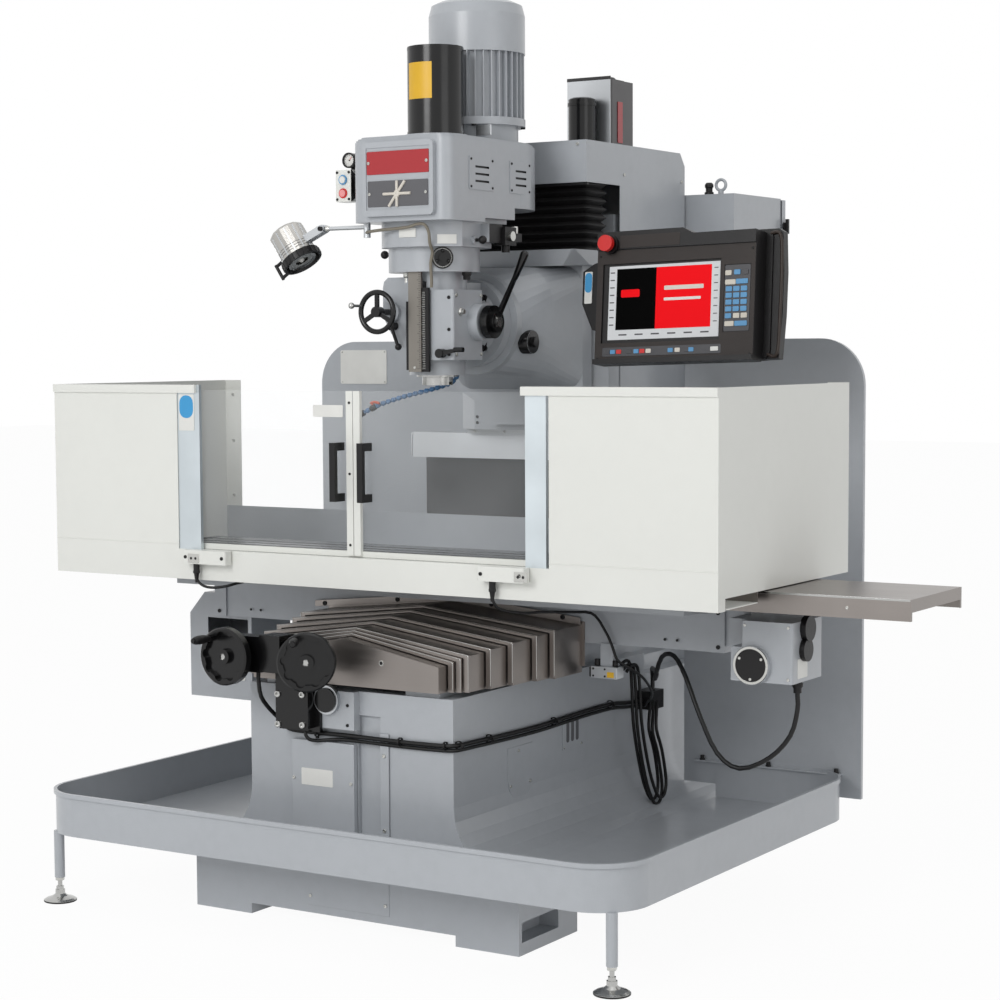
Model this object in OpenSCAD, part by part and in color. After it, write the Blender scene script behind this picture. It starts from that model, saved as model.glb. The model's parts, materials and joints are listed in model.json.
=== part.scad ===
// CNC bed milling machine: fixed bed and column, saddle and table on telescopic way covers,
// rising head on the column, sheet guard with sliding doors on the table, control pendant.
// Millimetres. Origin on the floor straight below the spindle. +X right, +Y towards the column, +Z up.

/* [Base] */
// Half width of the foot block
foot_x = 544; // [520:2:560]
// Front face of the foot and of the bed
foot_front = -455; // [-470:1:-450]
// Half width of the bed above the tray
bed_x = 340; // [335:1:345]
// Height of the bed between its ways
bed_top = 665; // [655:1:670]
// Height of the bed's ways
way_top = 700; // [695:1:704]
// Half width of the chip tray
tray_x = 972; // [940:2:1000]
// Front edge of the chip tray
tray_front = -676; // [-700:2:-650]
// Rear edge of the chip tray
tray_rear = 779; // [770:1:785]
// Underside of the chip tray
tray_z = 206; // [200:1:210]
// Rim of the chip tray
tray_top = 330; // [310:2:350]

/* [Column] */
// Half width of the column
column_x = 230; // [220:1:235]
// Top of the column casting
column_top = 2000; // [1990:1:2020]
// Top of the sheet cover on the column
cover_top = 2210; // [2200:1:2230]

/* [Saddle and table] */
// Half width of the saddle
saddle_x = 885; // [870:1:890]
// Front face of the saddle
saddle_front = 70; // [65:1:75]
// Rear face of the saddle and of the table guard
saddle_rear = 400; // [390:1:402]
// Length of the table
table_len = 1930; // [1900:2:1940]
// Width of the table
table_w = 356; // [350:1:360]
// Height of the table's top face
table_z = 1005; // [1003:1:1008]
// Distance between T-slots
slot_pitch = 63.5; // [60:0.5:66]
// Width of a T-slot's neck
slot_w = 16; // [14:1:18]

/* [Guard] */
// Half width of the guard
guard_x = 1100; // [1090:1:1110]
// Front face of the guard
guard_front = -411; // [-420:1:-400]
// Top of the guard's walls
guard_top = 1497; // [1480:1:1510]

/* [Head] */
// Height of the head's swivel axis
swivel_z = 1670; // [1665:1:1675]
// Height of the spindle's end face
nose_z = 1492; // [1488:1:1496]
// Radius of the spindle's nose
nose_r = 44.44; // [44:0.01:45]
// Distance of the motor's axis behind the spindle
motor_y = 222; // [221:1:226]
// Radius of the spindle motor
motor_r = 141; // [135:1:145]
// Top of the motor's cowl
motor_top = 2604; // [2560:2:2620]

/* [Hand controls] */
// Radius of the two electronic handwheels
wheel_r = 80; // [75:1:82]

/* [Hidden] */
$fn = 48;
soft_fn = 32;
sheet = 2;
grey = [0.60, 0.62, 0.65];
dark = [0.10, 0.10, 0.11];
white = [0.90, 0.90, 0.88];
steel = [0.72, 0.73, 0.74];

// ---------------------------------------------------------------- shapes used throughout

module slab(x, y, z) {
  translate([x[0], y[0], z[0]])
    cube([x[1] - x[0], y[1] - y[0], z[1] - z[0]]);
}

// The same block on both sides of the centre plane; x is given for the right one
module slab_pair(x, y, z) {
  slab(x, y, z);
  slab([-x[1], -x[0]], y, z);
}

module rod_x(x, y, z, r) {
  translate([x[0], y, z])
    rotate([0, 90, 0])
      cylinder(h = x[1] - x[0], r = r);
}

module rod_y(x, y, z, r) {
  translate([x, y[1], z])
    rotate([90, 0, 0])
      cylinder(h = y[1] - y[0], r = r);
}

module rod_z(x, y, z, r) {
  translate([x, y, z[0]])
    cylinder(h = z[1] - z[0], r = r);
}

// A rectangle with round corners, all arcs exact
module round_rect(x, y, r) {
  translate([x[0] + r, y[0]])
    square([x[1] - x[0] - 2 * r, y[1] - y[0]]);
  translate([x[0], y[0] + r])
    square([x[1] - x[0], y[1] - y[0] - 2 * r]);
  for (cx = [x[0] + r, x[1] - r], cy = [y[0] + r, y[1] - r])
    translate([cx, cy])
      circle(r);
}

module round_slab(x, y, z, r) {
  translate([0, 0, z[0]])
    linear_extrude(z[1] - z[0])
      round_rect(x, y, r);
}

// An outline drawn in X and Z, made thick from y[0] to y[1]
module along_y(y) {
  translate([0, y[1], 0])
    rotate([90, 0, 0])
      linear_extrude(y[1] - y[0])
        children();
}

// An outline drawn in Y and Z, made thick from x[0] to x[1]
module along_x(x) {
  translate([x[0], 0, 0])
    rotate([90, 0, 90])
      linear_extrude(x[1] - x[0])
        children();
}

// ---------------------------------------------------------------- base and tray

relief_x = 345;
relief_z = 30;
flare_top = 372;
flare_x = 505;
bed_rear = 620;
column_foot_z = 600;
base_rear = 1050;

// The bed's side sweeps out to its foot in a hollow quarter curve
function bed_flare(n) =
  [for (i = [0:n])
    let (a = 90 * i / n)
    [bed_x + (flare_x - bed_x) * (1 - cos(a)), flare_top - (flare_top - tray_z) * sin(a)]];

module bed_outline() {
  side = concat([[bed_x, bed_top]], bed_flare(7));
  polygon(concat(side, [for (i = [len(side) - 1:-1:0]) [-side[i][0], side[i][1]]]));
}

module base_casting() {
  color(grey)
    difference() {
      union() {
        slab([-foot_x, foot_x], [foot_front, -148], [0, tray_z]);
        slab([-bed_x + 10, bed_x - 10], [-150, 651], [0, tray_z]);
        slab([-foot_x, foot_x], [650, base_rear], [0, tray_z]);
        along_y([foot_front + 3, base_rear])
          bed_outline();
        slab_pair([180, 290], [foot_front + 15, bed_rear], [bed_top - 1, way_top]);
      }
      // the front and rear feet stand on their outer pads
      slab([-relief_x, relief_x], [foot_front - 1, -150], [-1, relief_z]);
      slab([-relief_x, relief_x], [651, base_rear + 1], [-1, relief_z]);
      // cored pockets in the sides of the foot
      for (z = [[34, 88], [138, 188]]) {
        slab([foot_x - 60, foot_x + 1], [-440, -250], z);
        slab([-foot_x - 1, -foot_x + 60], [-440, -250], z);
      }
      // seat of the column, and the hollow between the ways
      slab([-bed_x - 1, bed_x + 1], [bed_rear, base_rear + 1], [column_foot_z, 710]);
      slab([-150, 150], [-400, bed_rear - 40], [520, 710]);
      // long recess in the front face
      slab([30, 104], [foot_front, foot_front + 15], [250, 600]);
    }
}

foot_at = [917, -625];
screw_r = 6.5;

module chip_tray() {
  lip = 6;
  color(grey) {
    difference() {
      union() {
        round_slab([-tray_x + lip, tray_x - lip], [tray_front + lip, tray_rear], [tray_z, tray_top], 144);
        round_slab([-tray_x, tray_x], [tray_front, tray_rear], [tray_top - 12, tray_top], 150);
        for (s = [-1, 1])
          rod_z(s * foot_at[0], foot_at[1], [70, tray_z + 1], 15);
      }
      round_slab([-tray_x + lip + 4, tray_x - lip - 4], [tray_front + lip + 4, tray_rear - 4],
        [tray_z + 4, tray_top + 1], 140);
      slab([-flare_x - 2, flare_x + 2], [foot_front + 2, tray_rear + 1], [tray_z - 1, tray_top + 1]);
      for (s = [-1, 1])
        rod_z(s * foot_at[0], foot_at[1], [69, tray_z + 5], screw_r + 0.1);
    }
  }
}

module levelling_feet() {
  color(steel)
    for (s = [-1, 1])
      translate([s * foot_at[0], foot_at[1], 0]) {
        rotate_extrude()
          polygon([[0, 0], [47, 0], [47, 5], [40, 9], [22, 15], [14, 22], [14, 34], [0, 34]]);
        cylinder(h = 200, r = screw_r);
        translate([0, 0, 34])
          cylinder(h = 10, r = 11.5, $fn = 6);
      }
}

// ---------------------------------------------------------------- splash panels

splash_x = 985;
splash_top = 1620;
splash_in = 396;
splash_r = 140;

module splash_outline(edge) {
  r = splash_r - edge;
  square_top = splash_top - splash_r;
  translate([splash_in + edge, 250])
    square([splash_x - splash_in - 2 * edge, square_top - 250]);
  translate([splash_in + edge, 250])
    square([splash_x - splash_r - splash_in - edge, splash_top - edge - 250]);
  translate([splash_x - splash_r, square_top])
    circle(r);
}

module backsplash() {
  color(grey)
    for (s = [0, 1])
      mirror([s, 0, 0]) {
        along_y([tray_rear, tray_rear + 3])
          splash_outline(0);
        // rolled edge
        along_y([tray_rear, tray_rear + 14])
          difference() {
            splash_outline(0);
            splash_outline(10);
            translate([0, 240])
              square([splash_x - 10, 100]);
          }
      }
}

// ---------------------------------------------------------------- column, drive and cabinet

column_front = 640;
column_way = 630;
arm_at = [300, 800];
arm_z = [1690, 1810];

module column() {
  color(grey)
    difference() {
      union() {
        slab([-column_x, column_x], [column_front, base_rear], [column_foot_z, column_top]);
        slab([-290, 290], [column_front, base_rear], [column_foot_z, column_foot_z + 45]);
        slab_pair([130, column_x], [column_way, column_front + 1], [680, column_top]);
        // fork that carries the pendant's arm
        for (z = arm_z)
          hull() {
            rod_z(arm_at[0], arm_at[1], [z - 12, z + 12], 34);
            slab([column_x - 5, column_x + 5], [arm_at[1] - 60, arm_at[1] + 60], [z - 12, z + 12]);
          }
        slab([column_x - 5, column_x + 30], [arm_at[1] - 60, arm_at[1] + 60], [arm_z[0], arm_z[1]]);
      }
      rod_z(arm_at[0], arm_at[1], [arm_z[0] - 30, arm_z[1] + 30], 15.05);
    }
}

module column_cover() {
  x = 250;
  color(grey)
    difference() {
      along_x([-x, x])
        polygon([[428, 2086], [428, cover_top], [1030, cover_top], [1062, cover_top - 40],
          [1062, 1300], [column_way + 4, 1300], [column_way + 4, 2086]]);
      along_x([-x + sheet, x - sheet])
        polygon([[428 + sheet, 2080], [428 + sheet, cover_top - sheet], [1028, cover_top - sheet],
          [1060, cover_top - 41], [1060, 1290], [column_way - 10, 1290], [column_way - 10, 2080]]);
      slab([x - 10, x + 1], [arm_at[1] - 62, arm_at[1] + 62], [arm_z[0] - 16, arm_z[1] + 16]);
    }
}

z_motor_y = 965;
z_screw_y = 840;

module z_drive() {
  color(steel) {
    slab([-95, 95], [780, 1050], [cover_top, cover_top + 12]);
    difference() {
      slab([-78, 78], [z_motor_y - 79, z_motor_y + 79], [cover_top + 12, 2442]);
      for (s = [-1, 1], t = [-1, 1])
        translate([s * 78, z_motor_y + t * 79, cover_top])
          rotate([0, 0, 45])
            cube([16, 16, 600], center = true);
    }
    slab([-50, 50], [z_motor_y - 40, z_motor_y + 60], [2440, 2450]);
  }
  color(dark)
    rod_z(0, z_screw_y, [cover_top + 10, 2377], 43);
}

cab_x = 420;
cab_front = 1070;
cab_rear = 1420;
cab_z = [450, 2080];
hinge_at = [-430, 1432];
hinge_z = [620, 1230, 1880];

module control_cabinet() {
  color(grey) {
    difference() {
      slab([-cab_x, cab_x], [cab_front, cab_rear], cab_z);
      slab([-cab_x + sheet, cab_x - sheet], [cab_front + sheet, cab_rear + 1],
        [cab_z[0] + sheet, cab_z[1] - sheet]);
    }
    // feet that bolt it to the column
    slab([-150, 150], [base_rear, cab_front + 1], [700, 740]);
    slab([-150, 150], [base_rear, cab_front + 1], [1200, 1240]);
    slab([-150, 150], [1062, cab_front + 1], [1900, 1940]);
    // mounting plate for the drives
    slab([-380, 380], [cab_front + 20, cab_front + 23], [520, 2000]);
    slab([-30, 30], [cab_front + 1, cab_front + 21], [560, 1960]);
    for (z = hinge_z) {
      slab([-438, -cab_x + 1], [cab_rear - 20, cab_rear + 4], [z, z + 30]);
      rod_z(hinge_at[0], hinge_at[1], [z, z + 30], 8);
      rod_z(hinge_at[0], hinge_at[1], [z + 29, z + 58], 4);
    }
  }
  color(steel)
    translate([345, 1130, cab_z[1]]) {
      cylinder(h = 14, r = 9);
      translate([0, 0, 32])
        rotate([90, 0, 0])
          rotate_extrude()
            translate([17, 0])
              circle(5);
    }
}

module cabinet_door() {
  y = [cab_rear + 3, cab_rear + 28];
  color(grey)
    difference() {
      union() {
        difference() {
          slab([-418, 424], y, [cab_z[0] + 4, cab_z[1] - 4]);
          slab([-416, 422], [y[0] - 1, y[1] - sheet], [cab_z[0] + 6, cab_z[1] - 6]);
        }
        for (z = hinge_z) {
          rod_z(hinge_at[0], hinge_at[1], [z + 31, z + 60], 8);
          slab([hinge_at[0], -414], [y[1] - 14, y[1]], [z + 31, z + 60]);
        }
      }
      for (z = hinge_z)
        rod_z(hinge_at[0], hinge_at[1], [z + 30, z + 61], 4.06);
      rod_x([415, 430], 1436, 1990, 8.05);
    }
}

module cabinet_latch() {
  color(dark) {
    rod_x([405, 424.5], 1436, 1990, 8);
    rod_x([424.5, 432], 1436, 1990, 14);
    slab([432, 442], [1431, 1441], [1966, 2014]);
    slab([405, 408], [1396, 1441], [1985, 1995]);
  }
}

// ---------------------------------------------------------------- telescopic way covers

cover_front = [-476, -430, -420, -410, -326, -243, -145, -80];
cover_len = 160;
skin = 1.5;

// Roof-shaped outline of way cover k, made larger all round by grow
module roof(k, grow) {
  w = 310 + 18 * k + grow;
  eave = 753 + 9 * k + grow;
  ridge = 812 + 7 * k + grow;
  polygon([[-w, 682], [-w, eave], [0, ridge], [w, eave], [w, 682]]);
}

module hollow_roof(k, outer, inner_k, inner) {
  difference() {
    roof(k, outer);
    translate([0, -1])
      roof(inner_k, inner + 0.5);
  }
}

module way_cover(k) {
  y = cover_front[k];
  color(steel) {
    along_y([y, y + cover_len])
      hollow_roof(k, 0, k, -skin);
    // wiper lip that closes down to the next smaller cover
    along_y([y - 5, y + 1])
      hollow_roof(k, 2, k - 1, 3);
  }
}

module y_cover_front() {
  y = cover_front[0];
  color(steel) {
    along_y([y, y + cover_len])
      hollow_roof(0, 0, 0, -skin);
    along_y([y, y + 3])
      roof(0, 0);
    slab([-200, 200], [y + 2, foot_front + 16], [way_top + 1, way_top + 5]);
  }
}

module y_cover_rear() {
  y = cover_front[7];
  color(steel) {
    along_y([y, saddle_front])
      hollow_roof(7, 0, 7, -skin);
    along_y([y - 5, y + 1])
      hollow_roof(7, 2, 6, 3);
    // flange that screws to the saddle
    along_y([saddle_front - 3, saddle_front])
      difference() {
        roof(7, 10);
        translate([0, -1])
          roof(7, -skin);
        translate([-600, 600])
          square([1200, 100]);
      }
  }
}

// ---------------------------------------------------------------- electronic handwheels

left_wheel = [-300, -600, 758];
right_wheel = [-31, -600, 760];
right_turn = 30;

module handwheel_bracket() {
  color(grey)
    slab([-185, 35], [-478, foot_front + 3], [560, 665]);
  color(dark) {
    slab([-211, -72], [-490, -477], [548, 668]);
    slab([-200, -90], [-520, -489], [560, 665]);
    slab([-200, -90], [-520, -508], [560, 800]);
    slab([-212, -143], [-575, -508], [716, 818]);
    rod_y(-50, [-497, -477], 640, 34);
  }
  color(steel) {
    slab([-362, -211.5], [-572, -522], [713, 812]);
    slab([-330, -200], [-523, -508], [740, 790]);
    rod_y(left_wheel[0], [-590, -571], left_wheel[2], 9);
    rod_y(-50, [-492, -477], 640, 40);
    translate(right_wheel)
      rotate([0, 0, right_turn]) {
        slab([-48, 48], [26, 72], [-48, 52]);
        rod_y(0, [12, 30], 0, 9);
      }
  }
}

crank_r = 66;
left_crank = 133;
right_crank = 114;
pin_r = 4;

// One handwheel about its own centre, facing -Y. Its dished face has finger hollows in the rim,
// and a pin stands out of it at the angle given, for the revolving grip.
module handwheel(angle) {
  difference() {
    rotate([90, 0, 0])
      rotate_extrude()
        polygon([[0, -16], [18, -16], [20, -4], [wheel_r - 4, -4], [wheel_r, 0], [wheel_r, 22],
          [wheel_r - 4, 26], [0, 26]]);
    along_y([-27, -13])
      difference() {
        union() {
          circle(62);
          for (i = [0:8])
            rotate(i * 40 + 15)
              translate([57, 0])
                circle(13);
        }
        circle(21);
      }
    rod_y(0, [-10, 20], 0, 9.05);
    rod_y(0, [-27, -20], 0, 9);
  }
  rod_y(0, [-24, -19], 0, 7, $fn = 6);
  rotate([0, -angle, 0])
    translate([crank_r, 0, 0]) {
      rod_y(0, [-27.5, -11.5], 0, 9.3);
      rod_y(0, [-95, -20], 0, pin_r);
      rod_y(0, [-98, -94.5], 0, 6.5);
    }
}

// Revolving grip on the pin of a handwheel
module crank_handle(angle) {
  rotate([0, -angle, 0])
    translate([crank_r, 0, 0])
      rotate([90, 0, 0])
        rotate_extrude()
          polygon([[pin_r + 0.06, 28], [8, 28], [9, 34], [12, 52], [12.5, 70], [11, 86], [8, 94],
            [pin_r + 0.06, 94]]);
}

module x_handwheel() {
  color(dark)
    translate(left_wheel)
      handwheel(left_crank);
}

module x_crank_handle() {
  color(dark)
    translate(left_wheel)
      crank_handle(left_crank);
}

module y_handwheel() {
  color(dark)
    translate(right_wheel)
      rotate([0, 0, right_turn])
        handwheel(right_crank);
}

module y_crank_handle() {
  color(dark)
    translate(right_wheel)
      rotate([0, 0, right_turn])
        crank_handle(right_crank);
}

// ---------------------------------------------------------------- saddle

saddle_z = [767, 890];

module saddle() {
  color(grey)
    difference() {
      union() {
        slab([-saddle_x, saddle_x], [saddle_front, saddle_rear], saddle_z);
        slab([-330, 330], [saddle_front + 40, saddle_rear], [way_top + 0.3, saddle_z[0] + 1]);
        // dovetail that carries the table
        along_x([-saddle_x + 20, saddle_x - 20])
          polygon([[-110, 905], [-126, 930], [126, 930], [110, 905]]);
        slab([-saddle_x + 20, saddle_x - 20], [-140, 300], [888, 908]);
        for (x = [-820, -560, -300, 0, 300, 560, 820])
          along_x([x - 12, x + 12])
            polygon([[saddle_front + 1, 889], [-130, 889], [saddle_front + 1, 872]]);
        // end flanges
        slab_pair([saddle_x - 45, saddle_x], [saddle_front - 6, saddle_front + 1], saddle_z);
      }
      // room for the way covers when they close up
      along_y([saddle_front - 1, saddle_front + 60])
        roof(6, 4);
      // guide on the ways
      slab([-170, 170], [saddle_front + 30, saddle_rear + 1], [way_top - 1, way_top + 40]);
      // cored underside between the guide and the ends
      slab_pair([360, saddle_x - 20], [saddle_front + 20, saddle_rear - 20],
        [saddle_z[0] - 1, saddle_z[1] - 25]);
    }
}

module lube_box() {
  y = [100, 300];
  color(grey) {
    difference() {
      along_y(y)
        polygon([[-1015, 500], [-1015, 765], [-955, 833], [-769, 833], [-769, 500]]);
      along_y([y[0] + 3, y[1] - 3])
        polygon([[-1012, 503], [-1012, 763.5], [-953.5, 830], [-772, 830], [-772, 503]]);
      slab([-943, -783], [y[0] - 1, y[0] + 4], [704, 754]);
      slab([-saddle_x - 2, -760], [y[0] - 1, y[1] + 1], [saddle_z[0] - 1, 840]);
    }
    slab([-900, -saddle_x], [y[0] + 30, y[1] - 30], [829, 880]);
  }
}

module x_gearbox() {
  color(grey)
    difference() {
      union() {
        round_slab([1012, 1160], [-100, 90], [722, 882], 8);
        slab([984, 1030], [-100, 90], [722, 812]);
        rod_y(1048, [-115, -99], 767, 51);
        // bearing housing back to the saddle
        rod_x([saddle_x, 1015], 130, 830, 44);
        slab([940, 1015], [-20, 180], [800, 876]);
        slab([saddle_x, 960], [72, 180], [785, 885]);
      }
      rod_y(1048, [-116, -112], 767, 43);
    }
  color(dark) {
    rod_y(1048, [-117, -111.5], 767, 42.6);
    rod_x([1159, 1176], -20, 862, 34);
    rod_x([1159, 1174], -28, 806, 30);
    rod_z(1130, 0, [706, 723], 13);
  }
}

// ---------------------------------------------------------------- table and guard

half_len = table_len / 2;

module t_slot(y) {
  slab([-half_len - 1, half_len + 1], [y - slot_w / 2, y + slot_w / 2], [table_z - 21, table_z + 1]);
  slab([-half_len - 1, half_len + 1], [y - 14, y + 14], [table_z - 32, table_z - 20]);
}

module table() {
  color(steel)
    difference() {
      slab([-half_len, half_len], [-table_w / 2, table_w / 2], [930, table_z]);
      for (i = [-1.5:1:1.5])
        t_slot(i * slot_pitch);
      // dovetail groove on the underside
      along_x([-half_len - 1, half_len + 1])
        polygon([[-112, 905], [-127, 930.3], [-121, 931], [121, 931], [127, 930.3], [112, 905]]);
      // coolant channels round the slots
      slab_pair([half_len - 40, half_len - 20], [-150, 150], [table_z - 8, table_z + 1]);
    }
  color(steel)
    slab([-half_len, half_len], [-table_w / 2, -132], [909, 931]);
  color(steel)
    slab([-half_len, half_len], [132, table_w / 2], [909, 931]);
}

post_x = [[-628, -548], [540, 603]];
panel_z = 938;
sill_z = [938, 1025];

// Pans that close the guard round the table
module table_pans() {
  t = 3;
  color(white) {
    slab([-628, 613], [guard_front, guard_front + sheet], sill_z);
    slab([-628, 613], [guard_front, guard_front + 25], [sill_z[1] - 2, sill_z[1]]);
    slab([-guard_x + sheet, guard_x - sheet], [guard_front + sheet, -table_w / 2], [940, 940 + t]);
    slab([-guard_x + sheet, -half_len], [-table_w / 2, saddle_rear], [972, 972 + t]);
    slab([half_len, guard_x - sheet], [-table_w / 2, saddle_rear], [972, 972 + t]);
    slab([-half_len, half_len], [table_w / 2, saddle_rear], [972, 972 + t]);
    slab_pair([half_len, guard_x - sheet], [-table_w / 2 - t, -table_w / 2], [940, 972 + t]);
    slab([-guard_x + sheet, guard_x - sheet], [saddle_rear - sheet, saddle_rear], [972, 1085]);
  }
}

// Folded front panel and side wall, with a rail along the top
module guard_corner(front_in, rail_in) {
  color(white) {
    slab([front_in, guard_x], [guard_front, guard_front + sheet], [panel_z, guard_top]);
    slab([rail_in, guard_x], [guard_front - 6, guard_front + 22], [guard_top - 23, guard_top]);
    slab([guard_x - sheet, guard_x], [guard_front, saddle_rear], [panel_z + 32, guard_top]);
    slab([guard_x - sheet, guard_x], [guard_front, guard_front + 40], [panel_z, guard_top]);
    // return at the rear corner
    slab([guard_x - 64, guard_x - sheet + 0.5], [saddle_rear - sheet, saddle_rear], [1085, guard_top]);
  }
}

module guard_panels() {
  guard_corner(613, 531);
  mirror([1, 0, 0])
    guard_corner(628, 558);
  color(steel)
    for (x = post_x)
      difference() {
        slab(x, [guard_front + 3, guard_front + 14], [sill_z[1], guard_top]);
        slab([x[0] + sheet, x[1] - sheet], [guard_front + 5, guard_front + 15],
          [sill_z[1] + 2, guard_top - 2]);
      }
}

// Interlock switches below the doors, each with its cable gland
module door_switches() {
  for (x = [[-588, -432], [412, 556]]) {
    color(white)
      round_slab(x, [guard_front - 34, guard_front - 0.5], [987, 1026], 6);
    color(dark) {
      rod_z(x[0] + 38, guard_front - 17, [965, 987.5], 9);
      for (e = [x[0] + 12, x[1] - 12])
        rod_y(e, [guard_front - 36, guard_front - 33], 1006, 5);
    }
  }
}

door_z = [1030, 1482];
door_y = [-385, -379];

// One clear door with its stile and its bow handle; s = -1 left, 1 right
module sliding_door(x0, x1, s) {
  stile = s < 0 ? [x1 - 22, x1] : [x0, x0 + 22];
  handle_x = s < 0 ? x1 - 45 : x0 + 45;
  color([0.8, 0.85, 0.9, 0.4])
    slab([x0, x1], door_y, door_z);
  color(white) {
    slab(stile, [door_y[0] - 12, door_y[0] + 1], door_z);
    slab([x0, x1], [door_y[0] - 3, door_y[1] + 3], [door_z[0] - 4, door_z[0] + 12]);
  }
  color(dark) {
    for (z = [1190, 1330])
      slab([handle_x - 9, handle_x + 9], [door_y[0] - 44, door_y[0] + 1], [z - 11, z + 11]);
    slab([handle_x - 9, handle_x + 9], [door_y[0] - 48, door_y[0] - 34], [1179, 1341]);
  }
}

module left_door() {
  sliding_door(-610, -18.5, -1);
}

module right_door() {
  sliding_door(-16.5, 590, 1);
}

module table_end_cover() {
  color(steel)
    difference() {
      slab([half_len, 1500], [-145, 210], [912, 967]);
      slab([half_len - 1, 1498], [-143, 208], [911, 965]);
      // the end wall passes over the saddle's guide
      slab([1497, 1501], [-135, 200], [911, 934]);
    }
}

// ---------------------------------------------------------------- head slide and blinds

slide_z = [1345, 1886];

slide_front = 500;
ram_x = 225;

// One section of the ram: a rectangle with round corners, a sliver thick
module ram_section(y, x, z, r) {
  for (cx = [-x + r, x - r], cz = [z[0] + r, z[1] - r])
    rod_y(cx, [y, y + 1], cz, r, $fn = soft_fn);
}

// Casting that swells from the round swivel face to the full width of the slide
module ram() {
  rod_y(0, [197, 240], swivel_z, 150);
  hull() {
    rod_y(0, [222, 223], swivel_z, 150, $fn = soft_fn);
    ram_section(330, 190, [1508, 1836], 105);
  }
  hull() {
    ram_section(330, 190, [1508, 1836], 105);
    ram_section(446, ram_x, [1472, 1838], 60);
  }
  slab([-ram_x, ram_x], [446, slide_front + 1], [1472, 1840]);
}

module head_slide() {
  color(grey) {
    // plate on the column's ways, its front corners cut away
    translate([0, 0, slide_z[0]])
      linear_extrude(slide_z[1] - slide_z[0])
        polygon([[-250, column_way - 0.3], [-262, 600], [-262, 540], [-193, slide_front],
          [193, slide_front], [262, 540], [262, 600], [250, column_way - 0.3]]);
    ram();
    // shelf under the bellows, with a round lower edge
    hull() {
      slab([-252, 252], [440, slide_front + 1], [1885, slide_z[1]]);
      for (x = [-238, 238])
        rod_z(x, 360, [1885, slide_z[1]], 14, $fn = soft_fn);
      slab([-250, 250], [446, slide_front + 1], [1842, 1843]);
      slab([-210, 210], [356, 357], [1838, 1839]);
    }
    // chin below the ram
    along_y([446, slide_front + 1])
      polygon([[-222, 1473], [-113, 1409], [-113, 1364], [113, 1364], [113, 1409], [222, 1473]]);
  }
  // cap of the swivel's worm
  color(dark) {
    rod_x([120, 170], 252, 1614, 34);
    rod_x([169, 181], 252, 1614, 13);
  }
}

pleats = 8;
bellows_z = [slide_z[1] + 1, 2084];

// Zigzag edge of the pleats, u from the tips inwards
function pleat_edge(u0, u1) =
  [for (i = [0:2 * pleats])
    [i % 2 == 0 ? u0 : u1,
     bellows_z[0] + (bellows_z[1] - bellows_z[0]) * i / (2 * pleats)]];

function flip(points) = [for (i = [len(points) - 1:-1:0]) points[i]];

module column_bellows() {
  color(dark)
    intersection() {
      along_y([430, 566])
        polygon(concat(pleat_edge(222, 246), flip(pleat_edge(-222, -246))));
      along_x([-248, 248])
        polygon(concat(pleat_edge(462, 438), [[560, bellows_z[1]], [560, bellows_z[0]]]));
    }
}

housing_x = 484;

module blind_housing() {
  color(grey) {
    difference() {
      round_slab([-housing_x, housing_x], [580, 628], [1250, 1330], 8);
      rod_x([-housing_x + 8, housing_x - 8], 604, 1290, 21);
      slab([-housing_x + 8, housing_x - 8], [619, 624.5], [1249, 1290]);
    }
    slab([-258, 258], [560, 628], [1329, slide_z[0]]);
  }
}

module way_blind() {
  color(dark)
    slab([-455, 455], [620.5, 622.5], [712, 1262]);
}

// ---------------------------------------------------------------- milling head

housing_z = [1952, 2190];
louvre_y = [[-84, 44], [132, 246]];
quill_r = 60;
wheel_at = [-105, -150, 1701];
lock_at = [85, -97, 1583];
dial_at = [81, -96, 1851];
dial_turn = 43;
hub_y = 26;
hub_z = 1671;

// Upper gear castings: a drum cut flat on both sides, and a narrower drum below it
module gear_castings() {
  intersection() {
    rod_z(0, 0, [1882, housing_z[0]], 157);
    slab([-137, 137], [-160, 160], [1881, housing_z[0] + 1]);
  }
  rod_z(-8, 0, [1813, 1882.5], 131);
  // bosses of the gear knobs
  rod_x([136, 148], -22, 1901, 11);
  rod_x([-148, -130], -17, 1868, 10);
}

// Quill barrel with its collar, the squared feed gearbox and the wing of the fine feed
module quill_barrel() {
  rod_z(0, 0, [1560, 1814], 87);
  rod_z(0, 0, [1521, 1561], 80);
  round_slab([20, 118], [-97, 60], [1564, 1762], 7);
  rod_x([100, 150], hub_y, hub_z, 52);
  along_y([-70, 70])
    polygon([[0, 1800], [-122, 1800], [-136, 1788], [-140, 1770], [-140, 1690], [-112, 1640],
      [-70, 1600], [0, 1590]]);
  rod_y(wheel_at[0], [-84, -69], wheel_at[2], 28);
}

// Web back to the round face that swivels on the ram
module swivel_flange() {
  slab([-58, 48], [60, 170], [1596, 1786]);
  rod_y(0, [160, 196.7], swivel_z, 129);
  translate([0, 160.5, swivel_z])
    rotate([90, 0, 0])
      cylinder(h = 42, r1 = 104, r2 = 62);
}

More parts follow.
